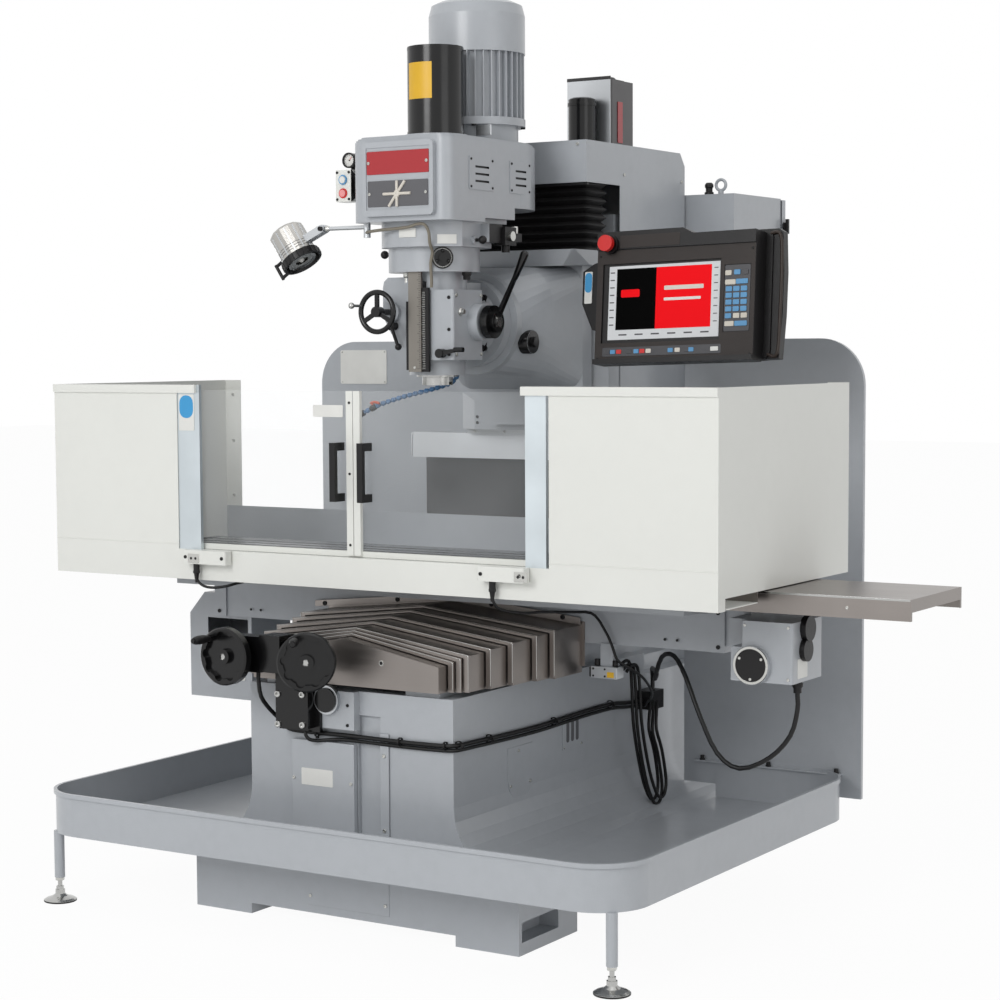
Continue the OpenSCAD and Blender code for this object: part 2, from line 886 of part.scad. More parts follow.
module head_casting() {
  color(grey)
    difference() {
      union() {
        gear_castings();
        quill_barrel();
        swivel_flange();
      }
      rod_z(0, 0, [1515, 1850], quill_r + 0.05);
      rod_z(0, 0, [1849, housing_z[0] - 20], 40);
      rod_x([120, 151], hub_y, hub_z, 12.05);
      rod_y(wheel_at[0], [-85, -30], wheel_at[2], 9.05);
      rod_y(lock_at[0], [-98, -60], lock_at[2], 6.05);
      // slot in the quill barrel behind the depth scale
      slab([-12, 12], [-90, -55], [1600, 1760]);
    }
  // depth scale in front of the quill, and the brackets that hold it
  color(steel)
    slab([-21, 22], [-116, -108], [1531, 1849]);
  color(dark) {
    slab([21, 44], [-112, -102], [1531, 1768]);
    slab([-33, -20], [-110, -103], [1536, 1730]);
    slab([-20, 20], [-109, -76], [1574, 1596]);
    slab([-20, 20], [-109, -76], [1764, 1786]);
  }
  // bolts of the swivel clamp
  color(dark)
    for (a = [50, 130, 230, 310])
      rod_y(92 * cos(a), [150, 161], swivel_z + 92 * sin(a), 12);
  // ball knobs that change the speed range
  color(dark) {
    rod_x([147, 162], -22, 1901, 5);
    translate([170, -22, 1901])
      sphere(12);
    rod_x([-162, -147], -17, 1868, 5);
    translate([-169, -17, 1868])
      sphere(12);
  }
  // feed lever on the left, below the hand wheel
  color(dark) {
    rod_y(-100, [-92, -68], 1662, 13);
    translate([-100, -88, 1662])
      rotate([10, 152, 0])
        cylinder(h = 66, r = 5);
    translate([-68, -99, 1602])
      sphere(10);
  }
  // ring of the speed dial
  color(steel)
    translate(dial_at)
      rotate([0, 0, dial_turn])
        rod_y(0, [-8, 20], 0, 30);
  air_valve();
}

// Solenoid valve and regulator of the drawbar, on the side of the gear casting
module air_valve() {
  color(dark) {
    slab([136, 166], [20, 90], [1896, 1948]);
    slab([140, 176], [89, 150], [1890, 1942]);
    slab([144, 170], [149, 190], [1902, 1926]);
    rod_z(158, 120, [1870, 1892], 12);
  }
  color(steel) {
    rod_z(158, 172, [1925, 1946], 9);
    rod_x([175, 184], 120, 1916, 14);
  }
}

lid_edge = 14;

// Plan of the belt housing, e smaller on every side
module housing_plan(e) {
  round_rect([-165 + e, 165 - e], [-190 + e, motor_y], 36);
  translate([0, motor_y])
    circle(168 - e);
}

module belt_housing() {
  color(grey)
    difference() {
      union() {
        translate([0, 0, housing_z[0]])
          linear_extrude(housing_z[1] - lid_edge - housing_z[0])
            housing_plan(0);
        for (i = [0:2])
          translate([0, 0, housing_z[1] - lid_edge])
            linear_extrude(lid_edge * (i + 1) / 3)
              housing_plan([2, 6, 13][i]);
        // proud front frame
        along_y([-206, -186])
          round_rect([-112, 125], [1966, 2172], 14);
        // raised lid round the drawbar cover and the motor
        rod_z(0, 0, [housing_z[1] - 1, housing_z[1] + 12], 92);
        rod_z(0, motor_y, [housing_z[1] - 1, housing_z[1] + 14], 120);
        // louvre plates
        for (s = [-1, 1], y = louvre_y)
          slab([s * 166 - 1.5, s * 166 + 1.5], y, [2040, 2132]);
      }
      for (s = [-1, 1], y = louvre_y, z = [2064, 2084, 2104])
        slab([s * 166 - 4, s * 166 + 4], [y[0] + 30, y[1] - 26], [z - 3, z + 3]);
      rod_z(0, 0, [housing_z[0] - 1, housing_z[0] + 60], 60);
      // the underside steps up towards the rear
      slab([137, 200], [0, motor_y], [housing_z[0] - 1, housing_z[0] + 12]);
      slab([-200, 200], [160, motor_y + 200], [housing_z[0] - 1, housing_z[0] + 46]);
      // rebate inside the front frame
      slab([-100, 113], [-207, -203], [1984, 2156]);
    }
}

module spindle_motor() {
  fins = 36;
  color(grey)
    translate([0, motor_y, 0]) {
      rod_z(0, 0, [housing_z[1] + 14, 2240], 120);
      rod_z(0, 0, [2240, 2262], motor_r);
      rod_z(0, 0, [2262, 2452], 122);
      for (i = [0:fins - 1])
        rotate([0, 0, i * 360 / fins])
          slab([115, motor_r - 3], [-1.8, 1.8], [2260, 2454]);
      rotate_extrude()
        polygon([[0, 2450], [motor_r, 2450], [motor_r, 2560], [motor_r - 8, 2590],
          [motor_r - 32, motor_top - 3], [motor_r - 50, motor_top], [0, motor_top]]);
      slab([-60, 60], [110, 160], [2300, 2400]);
    }
}

module drawbar_cover() {
  color(dark)
    difference() {
      rod_z(0, 0, [housing_z[1] + 12, 2450], 80);
      rod_z(0, 0, [housing_z[1] + 11, 2446], 77);
    }
}

box_y = -120;

module drawbar_box() {
  color(white)
    difference() {
      round_slab([-248, -193], [box_y - 28, box_y + 28], [2016, 2106], 4);
      for (z = [2040, 2078])
        rod_y(-220, [box_y - 29, box_y - 12], z, 10.05);
    }
  color(dark) {
    slab([-193.5, -165], [box_y - 14, box_y + 14], [2040, 2080]);
    rod_z(-205, box_y, [2105, 2116], 6);
  }
  color(steel)
    rod_y(-205, [box_y - 14, box_y + 12], 2133, 21);
}

module tool_in_button() {
  color([0.1, 0.5, 0.2])
    rod_y(-220, [box_y - 34, box_y - 18], 2078, 10);
}

module tool_out_button() {
  color([0.7, 0.1, 0.1])
    rod_y(-220, [box_y - 34, box_y - 18], 2040, 10);
}

module quill() {
  color(steel)
    difference() {
      rod_z(0, 0, [nose_z + 24, 1850], quill_r);
      rod_z(0, 0, [nose_z + 20, 1851], 30.05);
    }
}

module spindle() {
  color(steel)
    difference() {
      union() {
        rod_z(0, 0, [nose_z, nose_z + 22.5], nose_r);
        rod_z(0, 0, [nose_z + 22, 1880], 30);
      }
      // steep taper bore
      translate([0, 0, nose_z - 0.01])
        cylinder(h = 68, r1 = 22.2, r2 = 12.6);
      rod_z(0, 0, [nose_z + 60, 1881], 8);
      // driving keyways
      for (s = [-1, 1])
        slab([s * 34 - 12, s * 34 + 12], [-8, 8], [nose_z - 1, nose_z + 9]);
      // bolt holes of a face mill
      for (a = [45, 135, 225, 315])
        rod_z(33.35 * cos(a), 33.35 * sin(a), [nose_z - 1, nose_z + 16], 5);
    }
}

module feed_lever() {
  color(dark) {
    rod_x([121, 151], hub_y, hub_z, 12);
    rod_x([151, 166], hub_y, hub_z, 34);
    rod_x([157, 179], hub_y, hub_z, 47);
    rod_x([178, 192], hub_y, hub_z, 30);
    rod_x([191, 197], hub_y, hub_z, 15);
    hull() {
      rod_x([176, 188], hub_y, hub_z, 8, $fn = soft_fn);
      rod_x([190, 199], 116, 1804, 6, $fn = soft_fn);
    }
    // tapered grip
    hull() {
      rod_x([190, 200], 112, 1798, 7, $fn = soft_fn);
      translate([198, 157, 1863])
        sphere(13, $fn = soft_fn);
    }
  }
}

module quill_handwheel() {
  color(dark) {
    rod_y(wheel_at[0], [-152, -31], wheel_at[2], 9);
    translate(wheel_at) {
      rod_y(0, [-10, 16], 0, 15);
      for (a = [30, 150, 270])
        rotate([0, a, 0])
          slab([10, 53], [-4, 4], [-6, 6]);
      rotate([90, 0, 0])
        rotate_extrude()
          translate([56, 0])
            circle(7.5);
    }
  }
  // bright handle
  color(steel)
    translate([wheel_at[0] - 52, wheel_at[1], wheel_at[2] + 18]) {
      rod_y(0, [-46, 0], 0, 4);
      translate([0, -52, 0])
        sphere(9);
    }
}

module quill_lock() {
  color(dark)
    translate(lock_at) {
      rod_y(0, [-20, 30], 0, 6);
      rod_y(0, [-26, -4], 0, 13);
      hull() {
        rod_y(0, [-24, -14], 0, 8, $fn = soft_fn);
        rod_y(52, [-23, -15], 8, 5, $fn = soft_fn);
      }
      rod_x([48, 78], -19, 10, 7);
    }
}

// Cap in a ring, turned by three small balls
module speed_dial() {
  color(dark)
    translate(dial_at)
      rotate([0, 0, dial_turn]) {
        rod_y(0, [-20, -8.3], 0, 12);
        rod_y(0, [-14, -8.3], 0, 24);
        for (a = [90, 210, 330])
          translate([19 * cos(a), -16, 19 * sin(a)])
            sphere(5);
      }
}

lamp_y = -120;
lamp_z = 1943;

module lamp_arm() {
  color(steel) {
    rod_z(-158, lamp_y, [lamp_z - 30, housing_z[0] - 0.3], 10);
    rod_x([-312, -158], lamp_y, lamp_z, 6);
    rod_y(-312, [lamp_y - 9, lamp_y + 9], lamp_z, 12);
  }
}

module lamp_head() {
  color(steel) {
    for (y = [lamp_y - 15, lamp_y + 10])
      hull() {
        rod_y(-312, [y, y + 5], lamp_z, 11, $fn = soft_fn);
        rod_y(-380, [y, y + 5], 1912, 11, $fn = soft_fn);
      }
    translate([-420, lamp_y, 1897])
      rotate([0, -34, 0]) {
        difference() {
          rotate_extrude()
            polygon([[0, 56], [40, 56], [49, 48], [50, -36], [60, -38], [60, -60], [0, -60]]);
          translate([0, 0, -61])
            cylinder(h = 26, r1 = 54, r2 = 40);
        }
        // cooling ribs
        for (a = [0:30:330])
          rotate([0, 0, a])
            slab([48, 53], [-2, 2], [-34, 44]);
        // grip
        rod_z(-86, 0, [-58, -8], 5);
        for (z = [-53, -13])
          rod_x([-88, -46], 0, z, 5);
      }
  }
}

// ---------------------------------------------------------------- pendant

pendant_at = [634, 325, 1736];
pendant_tilt = [-7, -1.5, 0];

// Everything on the pendant is drawn about its own centre, face towards -Y
module on_pendant() {
  translate(pendant_at)
    rotate(pendant_tilt)
      children();
}

module pendant_arm() {
  color(grey) {
    rod_z(arm_at[0], arm_at[1], [arm_z[0] - 24, arm_z[1] + 24], 15);
    rod_z(arm_at[0], arm_at[1], [arm_z[0] + 13, arm_z[1] - 13], 34);
    hull() {
      rod_z(arm_at[0], arm_at[1], [1735, 1765], 20, $fn = soft_fn);
      rod_z(600, 450, [1735, 1765], 20, $fn = soft_fn);
    }
    rod_z(600, 450, [1715, 1785], 28);
    rod_z(600, 450, [1784, 1805], 14);
  }
}

stop_at = [-206, 150];

// Upper edge of the case: a raised name band that steps down on the right
band = [[250, 170], [57, 170], [24, 187], [-250, 187]];

module pendant_front() {
  along_y([-76, -2])
    polygon(concat([[-250, -186], [250, -186]], band));
  along_y([-82, -75])
    polygon(concat([[-250, 136], [250, 134]], band));
  // lip under the panel
  slab([-250, 250], [-88, -20], [-192, -178]);
  rod_y(stop_at[0], [-90, -75], stop_at[1], 27);
}

module pendant_shell() {
  along_y([-12, 24])
    round_rect([-270, 270], [-184, 180], 26);
  hull() {
    slab([-262, 262], [23, 24], [-176, 172]);
    slab([-200, 200], [57, 58], [-130, 120]);
  }
  // grips that stand out on both sides
  along_y([-6, 22])
    polygon([[230, -184], [296, -182], [303, -60], [304, 60], [298, 172], [284, 181], [230, 181]]);
  along_y([-4, 14])
    polygon([[-240, 125], [-300, 112], [-338, 90], [-338, -6], [-302, -82], [-240, -96]]);
}

module pendant_case() {
  color(dark)
    difference() {
      union() {
        on_pendant() {
          pendant_front();
          pendant_shell();
        }
        // knuckle on the arm
        rod_z(600, 450, [1786, 1830], 28);
        slab([580, 620], [370, 450], [1806, 1830]);
      }
      rod_z(600, 450, [1780, 1810], 14.05);
      on_pendant() {
        slab([-230, 144], [-77, -70], [-132, 94]);
        slab([156, 236], [-77, -74.5], [-112, 75]);
        rod_y(stop_at[0], [-91, -44], stop_at[1], 12.05);
      }
    }
}

module emergency_stop() {
  color([0.75, 0.08, 0.06])
    on_pendant() {
      rod_y(stop_at[0], [-98, -52], stop_at[1], 12);
      rod_y(stop_at[0], [-104, -97], stop_at[1], 17);
      rod_y(stop_at[0], [-118, -103], stop_at[1], 23);
    }
}

// ---------------------------------------------------------------- cables and hoses

// Frames carried along a route: direction at each point, then a side and an up vector
function unit(v) = v / norm(v);
function heading(p, i) = unit(p[min(i + 1, len(p) - 1)] - p[max(i - 1, 0)]);
function side_of(d) = abs(d[2]) > 0.9 ? unit(cross(d, [0, 1, 0])) : unit(cross(d, [0, 0, 1]));
function carried(p, i) =
  i == 0 ? side_of(heading(p, 0)) :
  let (d = heading(p, i), s = carried(p, i - 1))
  unit(s - d * (s * d));
function ring(p, i, r, n) =
  let (d = heading(p, i), s = carried(p, i), u = cross(s, d))
  [for (k = [0:n - 1]) p[i] + r * (cos(360 * k / n) * s + sin(360 * k / n) * u)];

// Smooth curve through the hand-placed points, m steps between each two
function bend(p, i, t) =
  let (a = p[max(i - 1, 0)], b = p[i], c = p[i + 1], d = p[min(i + 2, len(p) - 1)])
  0.5 * (2 * b + (c - a) * t + (2 * a - 5 * b + 4 * c - d) * t * t
    + (3 * b - a - 3 * c + d) * t * t * t);
function smooth(p, m) =
  concat([for (i = [0:len(p) - 2], j = [0:m - 1]) bend(p, i, j / m)], [p[len(p) - 1]]);

module tube(p, r, n) {
  rings = len(p);
  points = [for (i = [0:rings - 1]) each ring(p, i, r, n)];
  sides = [for (i = [0:rings - 2], k = [0:n - 1])
    [i * n + k, i * n + (k + 1) % n, (i + 1) * n + (k + 1) % n, (i + 1) * n + k]];
  ends = [[for (k = [n - 1:-1:0]) k], [for (k = [0:n - 1]) (rings - 1) * n + k]];
  polyhedron(points, concat(sides, ends));
}

hose_route = [[0, 110, 1596], [0, 110, 1575], [0, 110, 1545], [-4, 108, 1516], [-18, 103, 1499],
  [-45, 94, 1487], [-95, 75, 1472], [-150, 50, 1457], [-211, 30, 1437], [-244, 15, 1421],
  [-275, 7, 1405], [-304, 0, 1389]];

module coolant_hose() {
  color([0.15, 0.35, 0.7])
    tube(smooth(hose_route, 3), 8, 10);
}

// Cables clipped along the bed
conduit_route = [[-238, -547, 713], [-238, -547, 704], [-238, -547, 690], [-241, -532, 640],
  [-238, -492, 596], [-222, -466, 566], [-196, -465, 545], [-140, -463, 541], [0, -462, 542],
  [175, -462, 540], [300, -462, 541], [342, -458, 543], [352, -430, 543], [349, -380, 541],
  [349, -229, 537], [349, -15, 534], [349, 210, 539], [349, 390, 539], [352, 480, 531],
  [358, 535, 528], [360, 556, 528], [360, 565.8, 528]];

// Block on the side of the bed where the cables end
module cable_junction() {
  color(dark)
    slab([bed_x, 396], [566, 642], [500, 556]);
}

module base_conduit() {
  color(dark)
    tube(smooth(conduit_route, 2), 6, 8);
}

motor_route = [[1130, 0, 706], [1130, 0, 680], [1130, 0, 640], [1110, 0, 570], [1050, 0, 505],
  [962, 0, 468], [895, 0, 504], [844, 0, 599], [790, 20, 700], [733, 60, 750], [664, 120, 735],
  [600, 200, 660], [500, 400, 640], [400, 560, 630], [380, 600, 600], [380, 600, 570],
  [380, 600, 556]];

module x_motor_cable() {
  color(dark)
    tube(smooth(motor_route, 2), 6.5, 8);
}

guard_route = [[450, -428, 964.7], [450, -428, 950], [452, -426, 932], [456, -400, 910],
  [462, -300, 890], [462, -200, 882], [470, -60, 868], [482, 40, 856], [506, 50, 831],
  [531, 50, 793], [546, 50, 762], [558, 55, 727], [568, 90, 705], [560, 200, 660],
  [520, 330, 600], [460, 440, 560], [400, 530, 530], [380, 552, 515], [380, 560, 515], [380, 565.8, 515]];

module guard_cable() {
  color(dark)
    tube(smooth(guard_route, 2), 4, 8);
}

module y_cover_1() {
  way_cover(1);
}

module y_cover_2() {
  way_cover(2);
}

module y_cover_3() {
  way_cover(3);
}

module y_cover_4() {
  way_cover(4);
}

module y_cover_5() {
  way_cover(5);
}

module y_cover_6() {
  way_cover(6);
}

base_casting();
chip_tray();
levelling_feet();
backsplash();
column();
column_cover();
z_drive();
control_cabinet();
cabinet_door();
cabinet_latch();
y_cover_front();
y_cover_1();
y_cover_2();
y_cover_3();
y_cover_4();
y_cover_5();
y_cover_6();
y_cover_rear();
handwheel_bracket();
x_handwheel();
y_handwheel();
x_crank_handle();
y_crank_handle();
saddle();
lube_box();
x_gearbox();
table();
table_pans();
guard_panels();
door_switches();
left_door();
right_door();
table_end_cover();
head_slide();
column_bellows();
blind_housing();
way_blind();
head_casting();
belt_housing();
spindle_motor();
drawbar_cover();
drawbar_box();
tool_in_button();
tool_out_button();
quill();
spindle();
feed_lever();
quill_handwheel();
quill_lock();
speed_dial();
lamp_arm();
lamp_head();
coolant_hose();
pendant_arm();
pendant_case();
emergency_stop();
cable_junction();
base_conduit();
x_motor_cable();
guard_cable();
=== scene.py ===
"""A CNC bed milling machine: finishes, covers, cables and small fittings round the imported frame."""

import json
import math

import bmesh
import bpy
from mathutils import Matrix, Vector


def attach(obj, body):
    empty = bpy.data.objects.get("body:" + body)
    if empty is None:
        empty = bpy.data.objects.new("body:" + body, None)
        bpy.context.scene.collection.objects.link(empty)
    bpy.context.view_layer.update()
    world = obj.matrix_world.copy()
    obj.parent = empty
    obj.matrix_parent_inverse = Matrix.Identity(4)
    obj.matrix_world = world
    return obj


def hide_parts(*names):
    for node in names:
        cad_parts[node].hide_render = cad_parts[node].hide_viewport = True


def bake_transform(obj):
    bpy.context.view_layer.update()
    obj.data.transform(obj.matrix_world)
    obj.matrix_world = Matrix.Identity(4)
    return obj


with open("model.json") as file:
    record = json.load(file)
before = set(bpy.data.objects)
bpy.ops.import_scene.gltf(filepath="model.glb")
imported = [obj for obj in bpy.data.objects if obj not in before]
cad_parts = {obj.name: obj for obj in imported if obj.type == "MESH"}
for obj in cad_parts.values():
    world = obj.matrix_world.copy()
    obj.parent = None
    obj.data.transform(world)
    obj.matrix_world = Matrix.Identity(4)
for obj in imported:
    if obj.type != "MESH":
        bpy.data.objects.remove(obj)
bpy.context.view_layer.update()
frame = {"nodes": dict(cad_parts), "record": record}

MM = 0.001
FRONT, BACK, RIGHT, UP, DOWN = (0, -1, 0), (0, 1, 0), (1, 0, 0), (0, 0, 1), (0, 0, -1)
BOTH_SIDES = (-1, 1)

# ---- camera, floor and light


def add_object(name, data):
    """A new object, put into the scene."""
    made = bpy.data.objects.new(name, data)
    bpy.context.scene.collection.objects.link(made)
    return made


def add_camera():
    """Stands to the operator's right at eye level, and looks a little down."""
    lens = bpy.data.cameras.new("camera")
    lens.sensor_width, lens.lens = 36.0, 80.94
    lens.shift_x, lens.shift_y = 0.0236, 0.0252
    lens.clip_end = 60.0
    azimuth, elevation, roll = (math.radians(v) for v in (32.45, 4.529, -0.337))
    turn = Matrix.Rotation(azimuth, 4, "Z") @ Matrix.Rotation(math.pi / 2 - elevation, 4, "X")
    camera = add_object("camera", lens)
    camera.matrix_world = Matrix.Translation((3.57, -5.411, 1.6)) @ turn @ Matrix.Rotation(roll, 4, "Z")
    bpy.context.scene.camera = camera


def add_lamp(name, at, aim, size, power):
    """A square soft box."""
    data = bpy.data.lights.new(name, "AREA")
    data.size, data.energy = size, power
    lamp = add_object(name, data)
    lamp.location = at
    lamp.rotation_euler = (Vector(aim) - Vector(at)).to_track_quat("-Z", "Y").to_euler()


def seen_directly(tree):
    """1 for what the eye, a reflection or a clear sheet shows, and 0 for light that falls on things."""
    rays = tree.nodes.new("ShaderNodeLightPath")
    seen = Socket(tree, rays.outputs["Is Camera Ray"])
    for other in ("Is Glossy Ray", "Is Transmission Ray"):
        seen = seen.math("MAXIMUM", seen, Socket(tree, rays.outputs[other]))
    return seen


def add_studio():
    """Soft boxes, and a world that looks white but lights the machine less."""
    add_lamp("key", (-0.3, -6.9, 4.1), (0.0, 0.0, 0.7), 3.0, 205)
    add_lamp("fill", (6.0, -2.0, 2.0), (0.2, 0.2, 1.0), 3.0, 34)
    add_lamp("top", (0.5, 0.2, 5.6), (0.2, 0.3, 0.8), 3.5, 24)
    world = bpy.data.worlds.new("studio")
    world.use_nodes = True
    world.node_tree.nodes.clear()
    seen, lit = seen_directly(world.node_tree), 0.52
    light = seen.node("ShaderNodeBackground", {}, {"Color": (1, 1, 1, 1), "Strength": seen * (1 - lit) + lit})
    seen.node("ShaderNodeOutputWorld", {}, {"Surface": light})
    bpy.context.scene.world = world


def add_floor():
    """A floor 60 m square."""
    mesh, half = bpy.data.meshes.new("floor"), 30
    mesh.from_pydata([(-half, -half, 0), (half, -half, 0), (half, half, 0), (-half, half, 0)], [], [(0, 1, 2, 3)])
    mesh.materials.append(white_floor())
    add_object("floor", mesh)


# ---- shader maths


class Socket:
    """An output in a node tree. Arithmetic on it adds Math nodes."""

    def __init__(self, tree, out):
        self.tree, self.out = tree, out

    def node(self, kind, settings=None, inputs=None, output=0):
        """Adds a node: its settings first, then the values or links of its sockets."""
        made = self.tree.nodes.new(kind)
        for name, value in (settings or {}).items():
            setattr(made, name, value)
        for name, value in (inputs or {}).items():
            if isinstance(value, Socket):
                self.tree.links.new(value.out, made.inputs[name])
            else:
                made.inputs[name].default_value = value
        return Socket(self.tree, made.outputs[output]) if made.outputs else None

    def math(self, operation, first, second=0.0):
        return self.node("ShaderNodeMath", {"operation": operation}, {0: first, 1: second})

    def __add__(self, other):
        return self.math("ADD", self, other)

    def __sub__(self, other):
        return self.math("SUBTRACT", self, other)

    def __mul__(self, other):
        return self.math("MULTIPLY", self, other)

    def noise(self, scale, detail=2.0, stretch=(1, 1, 1)):
        """Soft noise about 0.5 on the vector self."""
        place = self
        if stretch != (1, 1, 1):
            place = self.node("ShaderNodeVectorMath", {"operation": "MULTIPLY"}, {0: self, 1: stretch})
        return self.node("ShaderNodeTexNoise", {}, {"Vector": place, "Scale": scale, "Detail": detail})

    def blend(self, first, second):
        """The colour first where self is 0, and second where it is 1."""
        return self.node("ShaderNodeMix", {"data_type": "RGBA"}, {0: self, 6: first, 7: second}, 2)


def new_material(name):
    """An empty material and the object coordinates inside it."""
    material = bpy.data.materials.new(name)
    material.use_nodes = True
    material.node_tree.nodes.clear()
    tree = material.node_tree
    coords = tree.nodes.new("ShaderNodeTexCoord")
    return material, Socket(tree, coords.outputs["Object"])


def close(material, place, colour, roughness, bump=None, depth=0.0005, **fixed):
    """Ends a material in a Principled shader; fixed are socket values that are the same all over."""
    sockets = {"Base Color": colour, "Roughness": roughness}
    for key, value in fixed.items():
        sockets[key.replace("_", " ")] = value
    if bump is not None:
        sockets["Normal"] = place.node("ShaderNodeBump", {}, {"Height": bump, "Distance": depth, "Strength": 1.0})
    shader = place.node("ShaderNodeBsdfPrincipled", {}, sockets)
    place.node("ShaderNodeOutputMaterial", {}, {"Surface": shader})
    return material


def rgb(red, green, blue):
    """A colour given as it looks on a screen, 0 to 255, made linear."""
    def linear(v):
        v /= 255.0
        return v / 12.92 if v <= 0.04045 else ((v + 0.055) / 1.055) ** 2.4
    return (linear(red), linear(green), linear(blue), 1.0)


def shade(colour, factor):
    return tuple(c * factor for c in colour[:3]) + (1.0,)


# ---- finishes


def enamel(name, colour, gloss=0.34, peel=0.00025, grime=0.10):
    """Sprayed machine paint: orange peel, faint cloudiness, a film of dust in patches."""
    material, place = new_material(name)
    cloud = place.noise(2.2, 3.0)
    dirt = place.noise(9.0, 6.0) * place.noise(31.0, 3.0)
    worn = dirt.math("MAXIMUM", dirt * 4.0 - 0.75, 0.0) * grime
    base = cloud.blend(shade(colour, 0.95), shade(colour, 1.04))
    base = worn.blend(base, shade(colour, 0.55))
    rough = place.noise(14.0, 4.0) * 0.14 + (gloss - 0.07)
    orange_peel = place.noise(260.0, 2.0)
    return close(material, place, base, rough, orange_peel, peel, Coat_Weight=0.25, Coat_Roughness=0.18)


def brushed(name, colour, along="X", roughness=0.3, depth=0.00006):
    """Steel ground or brushed in one direction, with handling marks."""
    material, place = new_material(name)
    stretch = {"X": (4, 300, 300), "Y": (300, 4, 300), "Z": (300, 300, 4)}[along]
    lines = place.noise(1.0, 3.0, stretch)
    marks = place.noise(6.0, 5.0)
    base = marks.blend(shade(colour, 0.82), shade(colour, 1.1))
    rough = lines * 0.16 + marks * 0.12 + (roughness - 0.14)
    return close(material, place, base, rough, lines, depth, Metallic=1.0)


def turned(name, colour, roughness=0.16):
    """Bright turned or plated metal."""
    material, place = new_material(name)
    film = place.noise(24.0, 4.0)
    base = film.blend(shade(colour, 0.9), shade(colour, 1.05))
    rough = film * 0.12 + (roughness - 0.06)
    return close(material, place, base, rough, place.noise(500.0, 1.0), 0.00003, Metallic=1.0)


def moulded(name, colour, roughness=0.45, grain=0.00018, scale=700.0, **fixed):
    """Moulded plastic or rubber with a fine grain."""
    material, place = new_material(name)
    tone = place.noise(11.0, 4.0)
    base = tone.blend(shade(colour, 0.86), shade(colour, 1.12))
    rough = place.noise(40.0, 3.0) * 0.12 + (roughness - 0.06)
    return close(material, place, base, rough, place.noise(scale, 2.0), grain, **fixed)


def coated_cloth(name, colour):
    """Plastic-coated woven cloth of the bellows and the roller blind."""
    material, place = new_material(name)
    weave = place.node("ShaderNodeTexWave", {"bands_direction": "X"}, {"Vector": place, "Scale": 380.0})
    weft = place.node("ShaderNodeTexWave", {"bands_direction": "Z"}, {"Vector": place, "Scale": 380.0})
    dust = place.noise(5.0, 5.0)
    base = dust.blend(shade(colour, 0.8), shade(colour, 1.35))
    return close(material, place, base, dust * 0.2 + 0.5, weave * weft, 0.0002)


def clear_sheet(name):
    """Clear polycarbonate with a faint haze and wipe marks."""
    material, place = new_material(name)
    haze = place.noise(7.0, 5.0)
    return close(material, place, (0.93, 0.96, 0.98, 1), haze * 0.08 + 0.03, Alpha=haze * 0.05 + 0.03, IOR=1.45)


def glow(name, colour, strength, shine=0.12):
    """A lit screen field."""
    material, place = new_material(name)
    grain = place.noise(900.0, 1.0) * 0.06 + 0.97
    light = {"Emission_Color": colour, "Emission_Strength": strength}
    return close(material, place, colour, grain * 0.5, Specular_IOR_Level=shine, **light)


def white_floor():
    """White to the eye and in reflections, pale to everything else, with the machine's shadow on it."""
    material, place = new_material("floor")
    tone = place.noise(0.7, 2.0).blend((0.94, 0.94, 0.94, 1), (0.97, 0.97, 0.97, 1))
    painted = place.node("ShaderNodeBsdfPrincipled", {}, {"Base Color": tone, "Roughness": 0.6})
    lit = place.node("ShaderNodeEmission", {}, {"Color": (1, 1, 1, 1), "Strength": 1.0})
    mixed = place.node("ShaderNodeMixShader", {}, {0: seen_directly(place.tree) * 0.95, 1: painted, 2: lit})
    place.node("ShaderNodeOutputMaterial", {}, {"Surface": mixed})
    return material


GREY = enamel("machine_grey", rgb(172, 176, 181))
WHITE = enamel("guard_white", rgb(224, 225, 220), gloss=0.42, peel=0.00012, grime=0.03)
POST = brushed("galvanised_post", rgb(205, 213, 217), "Z", 0.42)
ALLOY = brushed("machined_alloy", rgb(196, 199, 202), "X", 0.34)
STEEL = brushed("ground_steel", rgb(128, 130, 132), "X", 0.26)
STAINLESS = brushed("way_cover_steel", rgb(146, 140, 136), "X", 0.36, 0.00002)
BRIGHT = turned("bright_steel", rgb(184, 184, 182), 0.22)
LAMP_METAL = brushed("lamp_alloy", rgb(182, 180, 176), "Z", 0.3, 0.000003)
SCALE_STEEL = brushed("scale_steel", rgb(132, 128, 122), "Z", 0.4)
BLACK = moulded("black_plastic", rgb(22, 21, 22), 0.4, Specular_IOR_Level=0.3)
GLOSS_BLACK = moulded("black_enamel", rgb(12, 12, 13), 0.2, 0.00006, 300.0, Specular_IOR_Level=0.4)
RUBBER = moulded("cable_sheath", rgb(14, 14, 15), 0.45, Specular_IOR_Level=0.35)
CLOTH = coated_cloth("coated_cloth", rgb(11, 11, 12))
DARK_CLOTH = coated_cloth("blind_cloth", rgb(40, 40, 42))
ANODISED = brushed("anodised_bar", rgb(214, 217, 220), "X", 0.55, 0.00003)
CLEAR = clear_sheet("clear_sheet")
RED = moulded("button_red", rgb(206, 30, 28), 0.3, 0.00005)
GREEN = moulded("button_green", rgb(34, 140, 70), 0.3, 0.00005)
BLUE = moulded("hose_blue", rgb(70, 110, 150), 0.4)
ORANGE = moulded("lever_orange", rgb(196, 84, 52), 0.4)
PALE = moulded("pale_plate", rgb(222, 222, 218), 0.4, 0.00004)
CREAM = moulded("cream_plate", rgb(214, 208, 198), 0.4, 0.00004)
PINK = moulded("button_pale_red", rgb(232, 150, 150), 0.35, 0.00005)
KEY_BLUE = moulded("key_blue", rgb(84, 146, 192), 0.45, 0.00005)
KEY_CREAM = moulded("key_cream", rgb(206, 200, 188), 0.45, 0.00005)
KEY_DARK = moulded("key_dark", rgb(58, 58, 62), 0.45, 0.00005)
